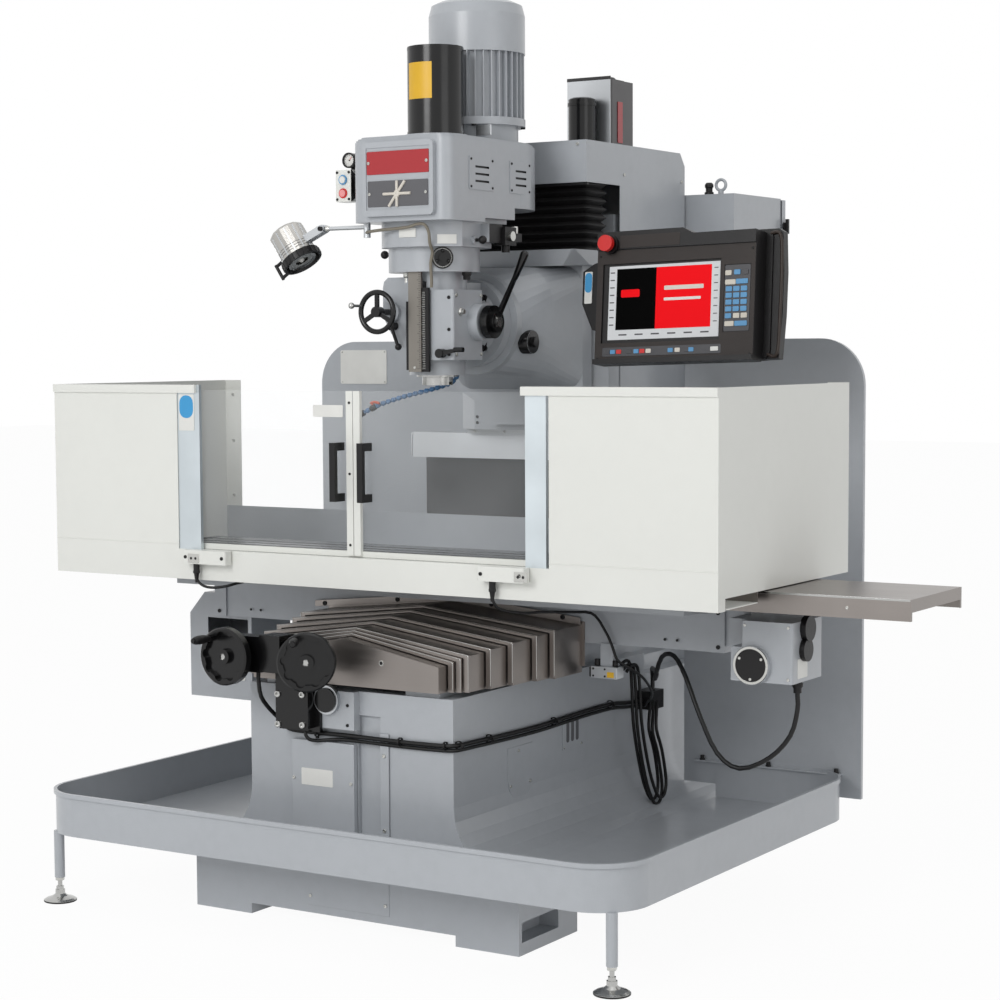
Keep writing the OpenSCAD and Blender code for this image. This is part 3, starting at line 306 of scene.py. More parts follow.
SIGN_BLUE = moulded("plain_blue_plate", rgb(58, 150, 204), 0.4, 0.00004)
SIGN_YELLOW = moulded("plain_yellow_plate", rgb(222, 174, 34), 0.4, 0.00004)
PANEL = moulded("pendant_brown_black", rgb(50, 45, 43), 0.5, 0.00012, Specular_IOR_Level=0.25)
SHELL = moulded("pendant_shell", rgb(50, 41, 36), 0.4, 0.00015, Specular_IOR_Level=0.3)
SCREEN_GREY = glow("screen_grey", rgb(190, 192, 194), 0.3)
SCREEN_BLACK = glow("screen_black", rgb(3, 3, 3), 0.0, 0.02)
SCREEN_RED = glow("screen_red", rgb(214, 16, 24), 0.4, 0.04)
BRAID = moulded("braided_sleeve", rgb(128, 122, 110), 0.7, 0.0006, 500.0)
SILVER = turned("plated_fitting", rgb(196, 196, 192), 0.28)
RED_PLATE = enamel("red_enamel_plate", rgb(168, 30, 38), gloss=0.22, peel=0.00004, grime=0.02)
DARK_PLATE = enamel("dark_plate", rgb(84, 84, 88), gloss=0.4, peel=0.00008, grime=0.05)
MOTOR_GREY = enamel("drive_grey", rgb(58, 56, 58), gloss=0.4, peel=0.0002, grime=0.05)
MOTOR_BLACK = enamel("drive_black", rgb(20, 19, 20), gloss=0.4, peel=0.0002, grime=0.05)


# ---- mesh work


def square_to(along):
    """A direction made one long, and two more that stand square to it."""
    axis = Vector(along).normalized()
    side = axis.orthogonal().normalized()
    return axis, side, axis.cross(side)


def polar(radius, degrees, u=0, v=0):
    """The flat point at a radius and an angle round (u, v)."""
    turn = math.radians(degrees)
    return u + radius * math.cos(turn), v + radius * math.sin(turn)


def circle(centre, side, up, radius, sides):
    """Points round a circle, or its centre alone where the radius is nothing."""
    turns = [2 * math.pi * k / sides for k in range(sides)] if radius else []
    return [centre + (side * math.cos(t) + up * math.sin(t)) * radius for t in turns] or [centre]


class Work:
    """Gathers solids, in millimetres, into one mesh; every face keeps its finish."""

    def __init__(self, place=None):
        self.points, self.faces, self.slots, self.finishes = [], [], [], []
        self.place = place or Matrix.Identity(4)

    def add(self, finish, points, faces):
        start = len(self.points)
        self.points += [self.place @ Vector(p) for p in points]
        self.faces += [[start + i for i in face] for face in faces]
        if finish not in self.finishes:
            self.finishes.append(finish)
        self.slots += [self.finishes.index(finish)] * len(faces)

    def rings(self, finish, rows):
        """Skins rows of points one after another and closes both ends. A row of one point is a pole."""
        points, faces, start = [], [], 0
        for row, following in zip(rows, rows[1:]):
            points += row
            after, count = start + len(row), max(len(row), len(following))
            for k in range(count):
                m = (k + 1) % count
                lower = [start + k, start + m] if len(row) > 1 else [start]
                upper = [after + m, after + k] if len(following) > 1 else [after]
                faces.append(lower + upper)
            start = after
        points += rows[-1]
        if len(rows[0]) > 1:
            faces.append(list(range(len(rows[0]) - 1, -1, -1)))
        if len(rows[-1]) > 1:
            faces.append(list(range(start, start + len(rows[-1]))))
        self.add(finish, points, faces)

    def outline(self, finish, shape, low, high, plane="XY"):
        """A flat shape made thick from low to high across its plane."""
        order = {"XY": (0, 1, 2), "XZ": (0, 2, 1), "YZ": (2, 0, 1)}[plane]
        self.rings(finish, [[[(u, v, w)[i] for i in order] for u, v in shape] for w in (low, high)])

    def block(self, finish, x, y, z):
        self.outline(finish, [(x[0], y[0]), (x[1], y[0]), (x[1], y[1]), (x[0], y[1])], z[0], z[1])

    def plate(self, finish, u, v, low, high, plane="XZ", corner=3.0):
        """A flat plate with round corners."""
        self.outline(finish, round_corners(u, v, corner), low, high, plane)

    def lathe(self, finish, at, along, profile, sides=24):
        """(radius, height) pairs turned about an axis that starts at a point, both ends closed on the axis."""
        (first, low), (last, high) = profile[0], profile[-1]
        profile = [(0, low)] * bool(first) + profile + [(0, high)] * bool(last)
        axis, side, up = square_to(along)
        rows = [circle(Vector(at) + axis * height, side, up, radius, sides) for radius, height in profile]
        self.rings(finish, rows)

    def rod(self, finish, start, end, radius, sides=20):
        side, up = square_to(Vector(end) - Vector(start))[1:]
        self.rings(finish, [circle(Vector(p), side, up, radius, sides) for p in (start, end)])

    def washer(self, finish, at, along, outer, inner, height, sides=28):
        """A ring with a hole, its section a closed loop turned about the axis."""
        axis, side, up = square_to(along)
        section = ((inner, 0), (outer, 0), (outer, height), (inner, height))
        points, faces = [], []
        for k in range(sides):
            t = 2 * math.pi * k / sides
            out = side * math.cos(t) + up * math.sin(t)
            points += [Vector(at) + out * r + axis * h for r, h in section]
            for i in range(4):
                j, here, there = (i + 1) % 4, 4 * k, 4 * ((k + 1) % sides)
                faces.append([here + i, there + i, there + j, here + j])
        self.add(finish, points, faces)

    def ball(self, finish, at, radius, sides=20):
        steps = sides // 2
        arc = [math.pi * k / steps for k in range(steps + 1)]
        profile = [(0 if k in (0, steps) else radius * math.sin(t), -radius * math.cos(t)) for k, t in enumerate(arc)]
        self.lathe(finish, at, UP, profile, sides)

    def tube(self, finish, path, radius, sides=10):
        """A tube along a path; radius may be one value or one for each point."""
        radii = radius if isinstance(radius, list) else [radius] * len(path)
        path = [Vector(p) for p in path]
        side, rows = None, []
        for i, point in enumerate(path):
            along = (path[min(i + 1, len(path) - 1)] - path[max(i - 1, 0)]).normalized()
            side = along.orthogonal().normalized() if side is None else (side - along * side.dot(along)).normalized()
            rows.append(circle(point, side, along.cross(side), radii[i], sides))
        self.rings(finish, rows)

    def piece(self, name, body, edge=0.0, sharp=35.0):
        """Ends the work: one object on its body, its edges broken by edge millimetres."""
        mesh = bpy.data.meshes.new(name)
        mesh.from_pydata([p * MM for p in self.points], [], self.faces)
        for finish in self.finishes:
            mesh.materials.append(finish)
        mesh.polygons.foreach_set("material_index", self.slots)
        solid = bmesh.new()
        solid.from_mesh(mesh)
        bmesh.ops.recalc_face_normals(solid, faces=solid.faces)
        solid.to_mesh(mesh)
        solid.free()
        mesh.shade_smooth()
        mesh.set_sharp_from_angle(angle=math.radians(sharp))
        made = add_object(name, mesh)
        if edge:
            bevel = made.modifiers.new("broken_edges", "BEVEL")
            bevel.width, bevel.segments, bevel.limit_method = edge * MM, 2, "ANGLE"
            bevel.angle_limit = math.radians(40)
        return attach(made, body) if body else made


def round_corners(u, v, radius):
    """Points round a rectangle with round corners."""
    steps = 4
    corners = ((u[1] - radius, v[0] + radius, -90), (u[1] - radius, v[1] - radius, 0),
               (u[0] + radius, v[1] - radius, 90), (u[0] + radius, v[0] + radius, 180))
    shape = []
    for cu, cv, start in corners:
        shape += [polar(radius, start + 90 * k / steps, cu, cv) for k in range(steps + 1)]
    return shape


def smooth(points, steps):
    """A smooth curve through given points, with steps between each two."""
    points = [Vector(p) for p in points]
    curve = []
    for i in range(len(points) - 1):
        a, b, c, d = points[max(i - 1, 0)], points[i], points[i + 1], points[min(i + 2, len(points) - 1)]
        for j in range(steps):
            t = j / steps
            bend, twist = 2 * a - 5 * b + 4 * c - d, 3 * b - a - 3 * c + d
            curve.append(0.5 * (2 * b + (c - a) * t + bend * t * t + twist * t ** 3))
    return curve + [points[-1]]


def coat(node, finish, *regions, turn=None):
    """Gives a node's faces that lie inside these boxes, in millimetres, a finish of their own.
    Where turn is given, the boxes stand in the frame that it places."""
    mesh = frame["nodes"][node].data
    mesh.materials.append(finish)
    slot, back = len(mesh.materials) - 1, turn.inverted() if turn else Matrix.Identity(4)
    for face in mesh.polygons:
        centre = back @ (face.center / MM)
        for region in regions:
            if all(low <= value <= high for value, (low, high) in zip(centre, region)):
                face.material_index = slot


# ---- fittings that repeat


def node_modifier(name, builder, sites, **values):
    """A mesh of bare points with a Geometry Nodes tree on it. Each site is (position in mm, facing, size).
    The values are the tree's inputs: the finish, and the sizes that the builder takes."""
    tree = bpy.data.node_groups.new(name, "GeometryNodeTree")
    entry = tree.interface.new_socket("Sites", in_out="INPUT", socket_type="NodeSocketGeometry")
    kinds = {float: "NodeSocketFloat", int: "NodeSocketInt"}
    sockets = {}
    for key, value in values.items():
        kind = kinds.get(type(value), "NodeSocketMaterial")
        sockets[key] = tree.interface.new_socket(key.replace("_", " ").capitalize(), in_out="INPUT", socket_type=kind)
    tree.interface.new_socket("Fittings", in_out="OUTPUT", socket_type="NodeSocketGeometry")
    inward = tree.nodes.new("NodeGroupInput")
    given = {key: Socket(tree, inward.outputs[socket.name]) for key, socket in sockets.items()}
    points = Socket(tree, inward.outputs[entry.name])
    finish = given.pop("finish")
    shape = builder(points, **given)
    way = points.node("GeometryNodeInputNamedAttribute", {"data_type": "FLOAT_VECTOR"}, {"Name": "facing"})
    scale = points.node("GeometryNodeInputNamedAttribute", {"data_type": "FLOAT"}, {"Name": "size"})
    turn = points.node("FunctionNodeAlignRotationToVector", {"axis": "Z"}, {"Vector": way})
    placed = {"Points": points, "Instance": shape, "Rotation": turn, "Scale": scale}
    spread = points.node("GeometryNodeInstanceOnPoints", {}, placed)
    solid = spread.node("GeometryNodeRealizeInstances", {}, {"Geometry": spread})
    painted = spread.node("GeometryNodeSetMaterial", {}, {"Geometry": solid, "Material": finish})
    painted.node("NodeGroupOutput", {}, {"Fittings": painted})
    mesh = bpy.data.meshes.new(name + "_sites")
    mesh.from_pydata([Vector(at) * MM for at, _, _ in sites], [], [])
    ways = [v for _, facing, _ in sites for v in Vector(facing).normalized()]
    mesh.attributes.new("facing", "FLOAT_VECTOR", "POINT").data.foreach_set("vector", ways)
    mesh.attributes.new("size", "FLOAT", "POINT").data.foreach_set("value", [float(size) for _, _, size in sites])
    carrier = add_object(name + "_sites", mesh)
    modifier = carrier.modifiers.new("fittings", "NODES")
    modifier.node_group = tree
    for key, value in values.items():
        modifier[sockets[key].identifier] = value
    return carrier


def settle(carrier, name, body):
    """Turns what a Geometry Nodes carrier makes into one plain mesh on a body."""
    bpy.context.view_layer.update()
    graph = bpy.context.evaluated_depsgraph_get()
    made = carrier.evaluated_get(graph)
    mesh = bpy.data.meshes.new_from_object(made, preserve_all_data_layers=False, depsgraph=graph)
    bpy.data.objects.remove(carrier)
    mesh.shade_smooth()
    mesh.set_sharp_from_angle(angle=math.radians(35))
    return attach(add_object(name, mesh), body)


def screw_head(start, sides, height, recess):
    """A round or six-sided head of radius 1 mm with a chamfered rim and a sunk middle."""

    def raised(mesh, up, **given):
        given.update({"Mesh": mesh, "Offset Scale": up, "Individual": False})
        return start.node("GeometryNodeExtrudeMesh", {}, given)

    def top_of(mesh):
        return Socket(mesh.tree, mesh.out.node.outputs["Top"])

    def narrowed(mesh, top, scale):
        return start.node("GeometryNodeScaleElements", {}, {"Geometry": mesh, "Selection": top, "Scale": scale})

    flat = start.node("GeometryNodeMeshCircle", {"fill_type": "NGON"}, {"Vertices": sides, "Radius": MM})
    body = raised(flat, height * (0.8 * MM))
    rim = raised(body, height * (0.2 * MM), Selection=top_of(body))
    inner = raised(narrowed(rim, top_of(rim), 0.86), 0.0, Selection=top_of(rim))
    return raised(narrowed(inner, top_of(inner), 0.62), recess * (-MM), Selection=top_of(inner))


FASTENERS = {}


def fasten(body, finish, radius, sites, facing=FRONT, sides=14, height=0.6, recess=0.35):
    """Notes screws of one radius; facing is the way that their heads point."""
    key = (body, finish.name, sides, height, recess)
    FASTENERS.setdefault(key, []).extend((at, facing, radius) for at in sites)


def set_fasteners():
    """Makes every noted screw, one mesh for each body and kind."""
    for number, ((body, finish, sides, height, recess), sites) in enumerate(sorted(FASTENERS.items())):
        sizes = {"sides": sides, "height": height, "recess": recess, "finish": bpy.data.materials[finish]}
        carrier = node_modifier("screws", screw_head, sites, **sizes)
        settle(carrier, f"{body}_screws_{number}", body)


def joined(*parts):
    """Several meshes in a Geometry Nodes tree as one."""
    join = parts[0].node("GeometryNodeJoinGeometry")
    for part in parts:
        join.tree.links.new(part.out, join.out.node.inputs[0])
    return join


def hose_link(start):
    """One link of a modular hose, radius about 1 mm: a ball that runs out into a wider cup."""
    ball = start.node("GeometryNodeMeshUVSphere", {}, {"Segments": 14, "Rings": 8, "Radius": 0.86 * MM})
    sizes = {"Vertices": 14, "Radius Top": 0.7 * MM, "Radius Bottom": 1.0 * MM, "Depth": 1.25 * MM}
    return joined(ball, start.node("GeometryNodeMeshCone", {}, sizes))


def tie_band(start):
    """A cable tie of radius 1 mm round its axis, with its lock on one side."""
    line = start.node("GeometryNodeCurvePrimitiveCircle", {}, {"Resolution": 16, "Radius": MM})
    section = start.node("GeometryNodeCurvePrimitiveQuadrilateral", {}, {"Width": 0.22 * MM, "Height": 0.5 * MM})
    band = start.node("GeometryNodeCurveToMesh", {}, {"Curve": line, "Profile Curve": section, "Fill Caps": True})
    lock = start.node("GeometryNodeMeshCube", {}, {"Size": (0.55 * MM, 0.75 * MM, 0.6 * MM)})
    return joined(band, start.node("GeometryNodeTransform", {}, {"Geometry": lock, "Translation": (1.15 * MM, 0, 0)}))


def tie_down(name, body, path, places, radius, finish):
    """Cable ties round a path in millimetres, at these shares of it."""
    sites = []
    for share in places:
        i = min(int(share * (len(path) - 1)), len(path) - 2)
        sites.append((path[i], path[i + 1] - path[i], radius))
    settle(node_modifier(name, tie_band, sites, finish=finish), name, body)


# ---- finishes of the carried-over nodes

NODE_FINISH = {
    "machine_grey": GREY,
    "guard_white": WHITE,
    "ground_steel": STEEL,
    "stainless": STAINLESS,
    "bright_steel": BRIGHT,
    "alloy": ALLOY,
    "black_plastic": BLACK,
    "black_paint": GLOSS_BLACK,
    "bellows_fabric": CLOTH,
    "cable_rubber": RUBBER,
    "clear_sheet": CLEAR,
    "button_green": GREEN,
    "button_red": RED,
    "hose_blue": BLUE,
}
FAR = 5000.0
ANY = (-FAR, FAR)
ALL_OVER = (ANY, ANY, ANY)


def stand(at, *turns):
    """A frame at a point in millimetres, turned by each (degrees, axis) in its order."""
    place = Matrix.Translation(at)
    for degrees, axis in turns:
        place = place @ Matrix.Rotation(math.radians(degrees), 4, axis)
    return place


LAMP_PLACE = stand((-420, -120, 1897), (-34, "Y"))
DIAL_PLACE = stand((81, -96, 1851), (43, "Z"))
PENDANT_PLACE = stand((634, 325, 1736), (-1.5, "Y"), (-7, "X"))
# the four clamp bolts of the swivel, round the head's axis
SWIVEL_BOLTS = [polar(92, angle, 0, 1670) for angle in (50, 130, 230, 310)]


def finish_nodes():
    """Every carried-over node takes the finish of its slot, then its odd parts theirs."""
    for row in frame["record"]["subparts"]:
        node = frame["nodes"][row["node"]]
        node.data.materials.clear()
        node.data.materials.append(NODE_FINISH[row["material_slot"]])
    # milling head
    coat(
        "head_casting", BLACK, ((21.5, 45), (-113, -101), (1530, 1769)), ((-34, -20), (-111, -102), (1535, 1731)),
        ((-21, 21), (-109.5, -77), (1573, 1597)), ((-21, 21), (-109.5, -77), (1763, 1787)),
        ((148.5, 183), (-36, -8), (1888, 1914)), ((-182, -148.5), (-31, -3), (1855, 1881)),
        ((-120, -55), (-112, -70.5), (1590, 1672)), ((137.6, 177), (20, 190.5), (1870, 1948.5)),
    )
    coat("head_casting", BLACK, *[((x - 13, x + 13), (149, 158), (z - 13, z + 13)) for x, z in SWIVEL_BOLTS])
    coat("head_casting", SCALE_STEEL, ((-21.5, 22.5), (-116.5, -107.9), (1530.5, 1849.5)))
    coat("head_casting", SILVER, ((148, 168), (160, 182), (1927, 1947)), ((176.5, 185), (105, 135), (1901, 1931)))
    coat("blind_housing", ANODISED, ((-485, 485), ANY, (1249, 1329)))
    coat("drawbar_box", BLACK, ((-194, -160), ANY, (2030, 2090)), ((-227, -183), ANY, (2106.5, 2160)))
    # the recessed faces of the louvre slots are coloured black: painted shade inside the slots
    louvres = [(x, y) for x in ((-166.9, -161.5), (161.5, 166.9)) for y in ((-55, 19), (150, 230))]
    coat("belt_housing", BLACK, *[(x, y, (2060, 2108)) for x, y in louvres])
    coat("tool_in_button", PALE, ALL_OVER)
    coat("tool_out_button", PINK, ALL_OVER)
    coat("speed_dial", ALLOY, ALL_OVER)
    coat("speed_dial", GLOSS_BLACK, (ANY, (-FAR, -9), ANY), turn=DIAL_PLACE)
    coat("table_pans", GREY, (ANY, (0, FAR), ANY))
    coat("table_pans", STAINLESS, ((880, FAR), (-200, FAR), ANY), ((-FAR, -880), (-200, FAR), ANY))
    coat("feed_lever", BRIGHT, ((191.5, 198), (10, 42), (1655, 1687)))
    coat("lamp_head", BLACK, (ANY, ANY, (-61, -36.5)), ((-100, -53.5), (-12, 12), (-60, -5)), turn=LAMP_PLACE)
    # drive on top of the column
    coat("z_drive", MOTOR_GREY, ((-79, 79), (885, 1045), (2223, 2451)))
    coat("z_drive", GLOSS_BLACK, ((-44, 44), (796, 884), (2223, 2380)))
    coat("z_drive", GREY, (ANY, ANY, (2209, 2222.1)))
    # hand wheels and their bracket
    coat("handwheel_bracket", GREY, ((-186, 36), (-478.05, -450), (559, 666)))
    coat("handwheel_bracket", ALLOY, ((-92, -8), (-492.5, -477.5), (599, 681)))
    coat("handwheel_bracket", GLOSS_BLACK, ((-84.5, -15.5), (-497.5, -492), (605, 675)))
    coat("handwheel_bracket", GLOSS_BLACK, ((-212, -72), (-491, -476.5), (548, 668)))
    coat("handwheel_bracket", ALLOY, *[(x, (-573, -521), (712, 813)) for x in ((-363, -338), (-230, -211))])
    for wheel in ("x_handwheel", "y_handwheel", "quill_handwheel"):
        coat(wheel, GLOSS_BLACK, ALL_OVER)
    coat("quill_handwheel", BRIGHT, ((-170, -145), (-215, -160), (1700, 1740)))
    coat("x_handwheel", BRIGHT, ((-308, -292), (-625, -618.5), (750, 766)))
    coat("y_handwheel", BRIGHT, ((-27, -11), (-627, -615), (752, 768)))
    # table drive, guard and doors
    coat(
        "x_gearbox", BLACK, ((1004, 1092), (-118, -112.2), (723, 811)), ((1160.3, 1180), (-60, 20), (770, 900)),
        ((1115, 1145), (-15, 15), (700, 721.9)),
    )
    coat("guard_panels", POST, *[(x, (-408.1, -396.9), (1024.9, 1497.1)) for x in ((-628.1, -547.9), (539.9, 603.1))])
    coat("door_switches", BLACK, (ANY, ANY, (960, 986.9)), (ANY, (-450, -445.2), ANY))
    for door in ("left_door", "right_door"):
        coat(door, WHITE, (ANY, (-397.1, -385.1), ANY), (ANY, (-378.9, -376), ANY))
        coat(door, WHITE, (ANY, (-388.1, -375.9), (1026, 1042.1)))
        coat(door, BLACK, (ANY, (-435, -397.2), ANY))
        coat(door, BLACK, *[(x, (-435, -386), (1170, 1350)) for x in ((-74, -53), (18, 39))])


# ---- cords

HOSE = [
    (0, 110, 1596), (0, 110, 1575), (0, 110, 1545), (-4, 108, 1516), (-18, 103, 1499), (-45, 94, 1487),
    (-95, 75, 1472), (-150, 50, 1457), (-211, 30, 1437), (-244, 15, 1421), (-275, 7, 1405), (-304, 0, 1389),
]
WHEEL_CABLE = [
    (-238, -547, 713), (-238, -547, 704), (-238, -547, 690), (-241, -532, 640), (-238, -492, 596),
    (-222, -466, 566), (-196, -465, 545), (-140, -463, 541), (0, -462, 542), (175, -462, 540), (300, -462, 541),
    (342, -458, 543), (352, -430, 543), (349, -380, 541), (349, -229, 537), (349, -15, 534), (349, 210, 539),
    (349, 390, 539), (352, 480, 531), (358, 535, 528), (360, 556, 528), (360, 565.8, 528),
]
SECOND_START = [(-112, -500, 549), (-112, -500, 538), (-104, -495, 527), (-86, -482, 523), (-62, -469, 525)]
SECOND_END = [(362, 546, 514), (366, 565.8, 513)]
DRIVE_CABLE = [
    (1130, 0, 706), (1130, 0, 680), (1130, 0, 640), (1110, 0, 570), (1050, 0, 505), (962, 0, 468),
    (895, 0, 504), (844, 0, 599), (790, 20, 700), (733, 60, 750), (664, 120, 735), (600, 200, 660),
    (500, 400, 640), (400, 560, 630), (380, 600, 600), (380, 600, 570), (380, 600, 556),
]
SWITCH_CABLE = [
    (450, -428, 964.7), (450, -428, 950), (452, -426, 932), (456, -400, 910), (462, -300, 890),
    (462, -200, 882), (470, -60, 868), (482, 40, 856), (506, 50, 831), (531, 50, 793), (546, 50, 762),
    (558, 55, 727), (568, 90, 705), (560, 200, 660), (520, 330, 600), (460, 440, 560), (400, 530, 530),
    (380, 552, 515), (380, 560, 515), (380, 565.8, 515),
]
# the point of the switch cable where it is tied to the saddle
TIED_AT = 8
LAMP_LEAD = [
    (-148, -136, 1927), (-120, -158, 1928), (-70, -166, 1931), (-20, -169, 1933), (20, -171, 1936),
    (52, -174, 1943), (74, -172, 1940), (82, -164, 1920), (77, -151, 1890), (70, -128, 1866), (62, -124, 1840),
    (58, -118, 1815), (56, -112, 1790), (54, -110, 1768),
]
LEFT_SWITCH_CABLE = [
    (-550, -428, 965), (-550, -428, 952), (-546, -427, 936), (-528, -422, 922), (-500, -412, 918),
    (-470, -395, 922), (-452, -378, 928), (-440, -362, 932), (-432, -350, 936),
]
BUNDLE = [
    (420, 322, 664), (420, 352, 678), (420, 383, 665), (420, 395, 586), (420, 402, 496), (420, 426, 402),
    (420, 464, 305), (420, 509, 243), (420, 547, 243), (420, 560, 289), (420, 534, 385), (420, 502, 451),
    (412, 520, 500), (396, 560, 528),
]


def cord_piece(name, points, radius, steps=3, finish=RUBBER):
    """A cable as a mesh tube along a smoothed path through the points. Returns the piece and its path."""
    path = smooth(points, steps)
    work = Work()
    work.tube(finish, path, radius, 12)
    piece = work.piece(name, None, sharp=60)
    metres = [tuple(p * MM) for p in path]
    2 * radius * MM
    return piece, path


def ride_between(piece):
    """Bakes a cable's placement into its mesh; it rides on no body."""
    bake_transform(piece)


def add_cords():
    """The coolant hose, then the cables that hang below the table and along the bed."""
    hose_path = smooth(HOSE, 6)
    hose = modular_hose(hose_path)
    # its last six points lie in the tip
    metres = [tuple(p * MM) for p in hose_path[:-6]]
    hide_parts("coolant_hose")
    nozzle = hose_fittings(hose_path)
    wheel, path = cord_piece("wheel_cable", WHEEL_CABLE, 6)
    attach(wheel, "base")
    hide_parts("base_conduit")
    tie_down("wheel_cable_ties", "base", path, (0.36, 0.43, 0.5, 0.57, 0.66, 0.74, 0.82), 11.0, BLACK)
    # the second runs 13 mm below the first once both are on the bed
    beside = [(x + 2 * (x > 340), y + 2 * (y < -400), z - 13) for x, y, z in WHEEL_CABLE[8:19]]
    second, _ = cord_piece("second_wheel_cable", SECOND_START + beside + SECOND_END, 5)
    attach(second, "base")
    drive, path = cord_piece("drive_cable", DRIVE_CABLE, 6.5)
    ride_between(drive)
    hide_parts("x_motor_cable")
    upper, path = cord_piece("switch_cable_upper", SWITCH_CABLE[: TIED_AT + 1], 4)
    ride_between(upper)
    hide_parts("guard_cable")
    lower, path = cord_piece("switch_cable_lower", SWITCH_CABLE[TIED_AT:], 4)
    ride_between(lower)
    left, _ = cord_piece("left_switch_cable", LEFT_SWITCH_CABLE, 4)
    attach(left, "table")
    for number, (sideways, deeper) in enumerate(((0, 0), (11, -14), (22, 6))):
        route = []
        for i, (x, y, z) in enumerate(BUNDLE):
            belly = math.sin(math.pi * i / (len(BUNDLE) - 1))
            route.append((x + sideways, y + 6 * number * belly, z + deeper * belly - 6 * number * (i < 3)))
        cable, path = cord_piece(f"hanging_cable_{number}", route, 5)
        ride_between(cable)


def modular_hose(path):
    """Ball-and-socket links threaded along the hose's line."""
    step, travelled, sites = 17.0, 0.0, []
    for a, b in zip(path, path[1:]):
        part = (b - a).length
        while travelled < part:
            sites.append((a + (b - a) * (travelled / part), a - b, 8.0))
            travelled += step
        travelled -= part
    # the last two links would stand inside the tip
    return settle(node_modifier("hose_links", hose_link, sites[:-2], finish=BLUE), "modular_hose", "head")


def hose_fittings(path):
    """Shut-off lever, ferrule and blue tip near the hose's end."""
    work = Work()
    end, before, valve = path[-1], path[-8], path[-14]
    along = (end - before).normalized()
    tip = max(14.0, (end - before).length - 21)
    work.lathe(BLACK, before - along * 6, along, [(8, 0), (9, 2), (9, 13), (7, 16)], 16)
    work.lathe(SILVER, before + along * 10, along, [(6, 0), (8, 1), (8, 11), (6, 12)], 18)
    work.lathe(BLUE, before + along * 21, along, [(7, 0), (7, 6), (5, 12), (3.4, tip)], 16)
    work.lathe(BLACK, valve - along * 9, along, [(8.5, 0), (9.5, 3), (9.5, 15), (8.5, 18)], 16)
    work.rod(ORANGE, valve, valve + Vector((0, -4, 15)), 3.4, 12)
    lever = [valve + Vector(p) for p in ((-6, -4, 14), (8, -4, 17), (26, -5, 14))]
    work.tube(ORANGE, smooth(lever, 4), 4.0)
    return work.piece("hose_tip", "head", 0.3)


# ---- bed, tray and covers


def add_bed_fittings():
    """Cover plates, a blank plate and screws on the bed and its foot."""
    work = Work()
    work.block(GREY, (-184, 27), (-470, -454), (206.5, 519))
    work.block(GREY, (-147, 131), (-457, -454.5), (52, 206))
    work.block(GREY, (105, 134), (-457.5, -454.5), (208, 556))
    work.piece("bed_covers", "base", 1.2)
    fasten("base", SILVER, 5, [(-177, -470, 411), (17, -470, 410), (-177, -470, 240), (17, -470, 238)])
    fasten("base", SILVER, 5, [(-135, -457, 79), (119, -457, 81)])
    fasten("base", SILVER, 5.5, [(119, -457.5, 495), (119, -457.5, 289)])
    bracket = [(-192, -520, 650), (-108, -520, 654), (-192, -520, 566), (-108, -520, 570)]
    fasten("base", BRIGHT, 9.5, bracket, recess=0.5)
    fasten("base", BLACK, 4.5, [(14, -478, 628), (13, -478, 573)])
    work = Work()
    work.plate(PALE, (-151, -44), (394, 441), -471.2, -469.8, corner=3)
    work.piece("bed_plate", "base", 0.3)
    # cover with slots on the side of the bed; its three slots are dark strips, painted shade in the openings
    work = Work()
    work.plate(GREY, (122, 236), (440, 534), 339.5, 342.5, "YZ", 4)
    # the three slots: dark strips as painted shade
    for k in range(3):
        work.plate(DARK_PLATE, (142 + 27 * k, 159 + 27 * k), (460, 520), 341.5, 343, "YZ", 7)
    curve = [polar(66, 180 + 15 * k, -112, 404) for k in range(13)]
    work.outline(GREY, curve + [(-46, 492), (-178, 492)], 339.5, 342.5, "YZ")
    work.piece("bed_side_covers", "base", 0.5)
    fasten("base", SILVER, 3.5, [(342.5, y, z) for y in (129, 229) for z in (447, 527)], RIGHT)
    fasten("base", SILVER, 4.5, [(342.5, -123, 479), (342.5, -62, 384), (342.5, -166, 384)], RIGHT)


def add_tray_fittings():
    """The splash panel's flange, bolts and blank plate, and the levelling feet's nuts and rings."""
    work = Work()
    for s in BOTH_SIDES:
        work.block(GREY, sorted((s * 440, s * 926)), (760, 779.5), (318, 323))
        for x in (465, 688, 910):
            work.lathe(BLACK, (s * x, 768, 323), UP, [(9, 0), (9, 4), (7, 5), (7, 14), (6, 15)], 6)
    work.piece("splash_flange", "base", 0.5)
    # bare plate on the splash panel
    work = Work()
    work.plate(PALE, (-905, -716), (1479, 1592), 776.6, 779.2, corner=6)
    work.piece("splash_plate", "base", 0.4)
    fasten("base", SILVER, 3, [(x, 776.6, z) for x in (-897, -724) for z in (1586, 1486)])
    # nuts and pad rings of the levelling feet
    work = Work()
    for s in BOTH_SIDES:
        work.lathe(SILVER, (s * 917, -625, 60), UP, [(12, 0), (13, 2), (13, 9), (12, 11)], 6)
        work.washer(BLACK, (s * 917, -625, 0.2), UP, 47.6, 40, 4.2, 36)
    work.piece("foot_nuts", "base", 0.4)


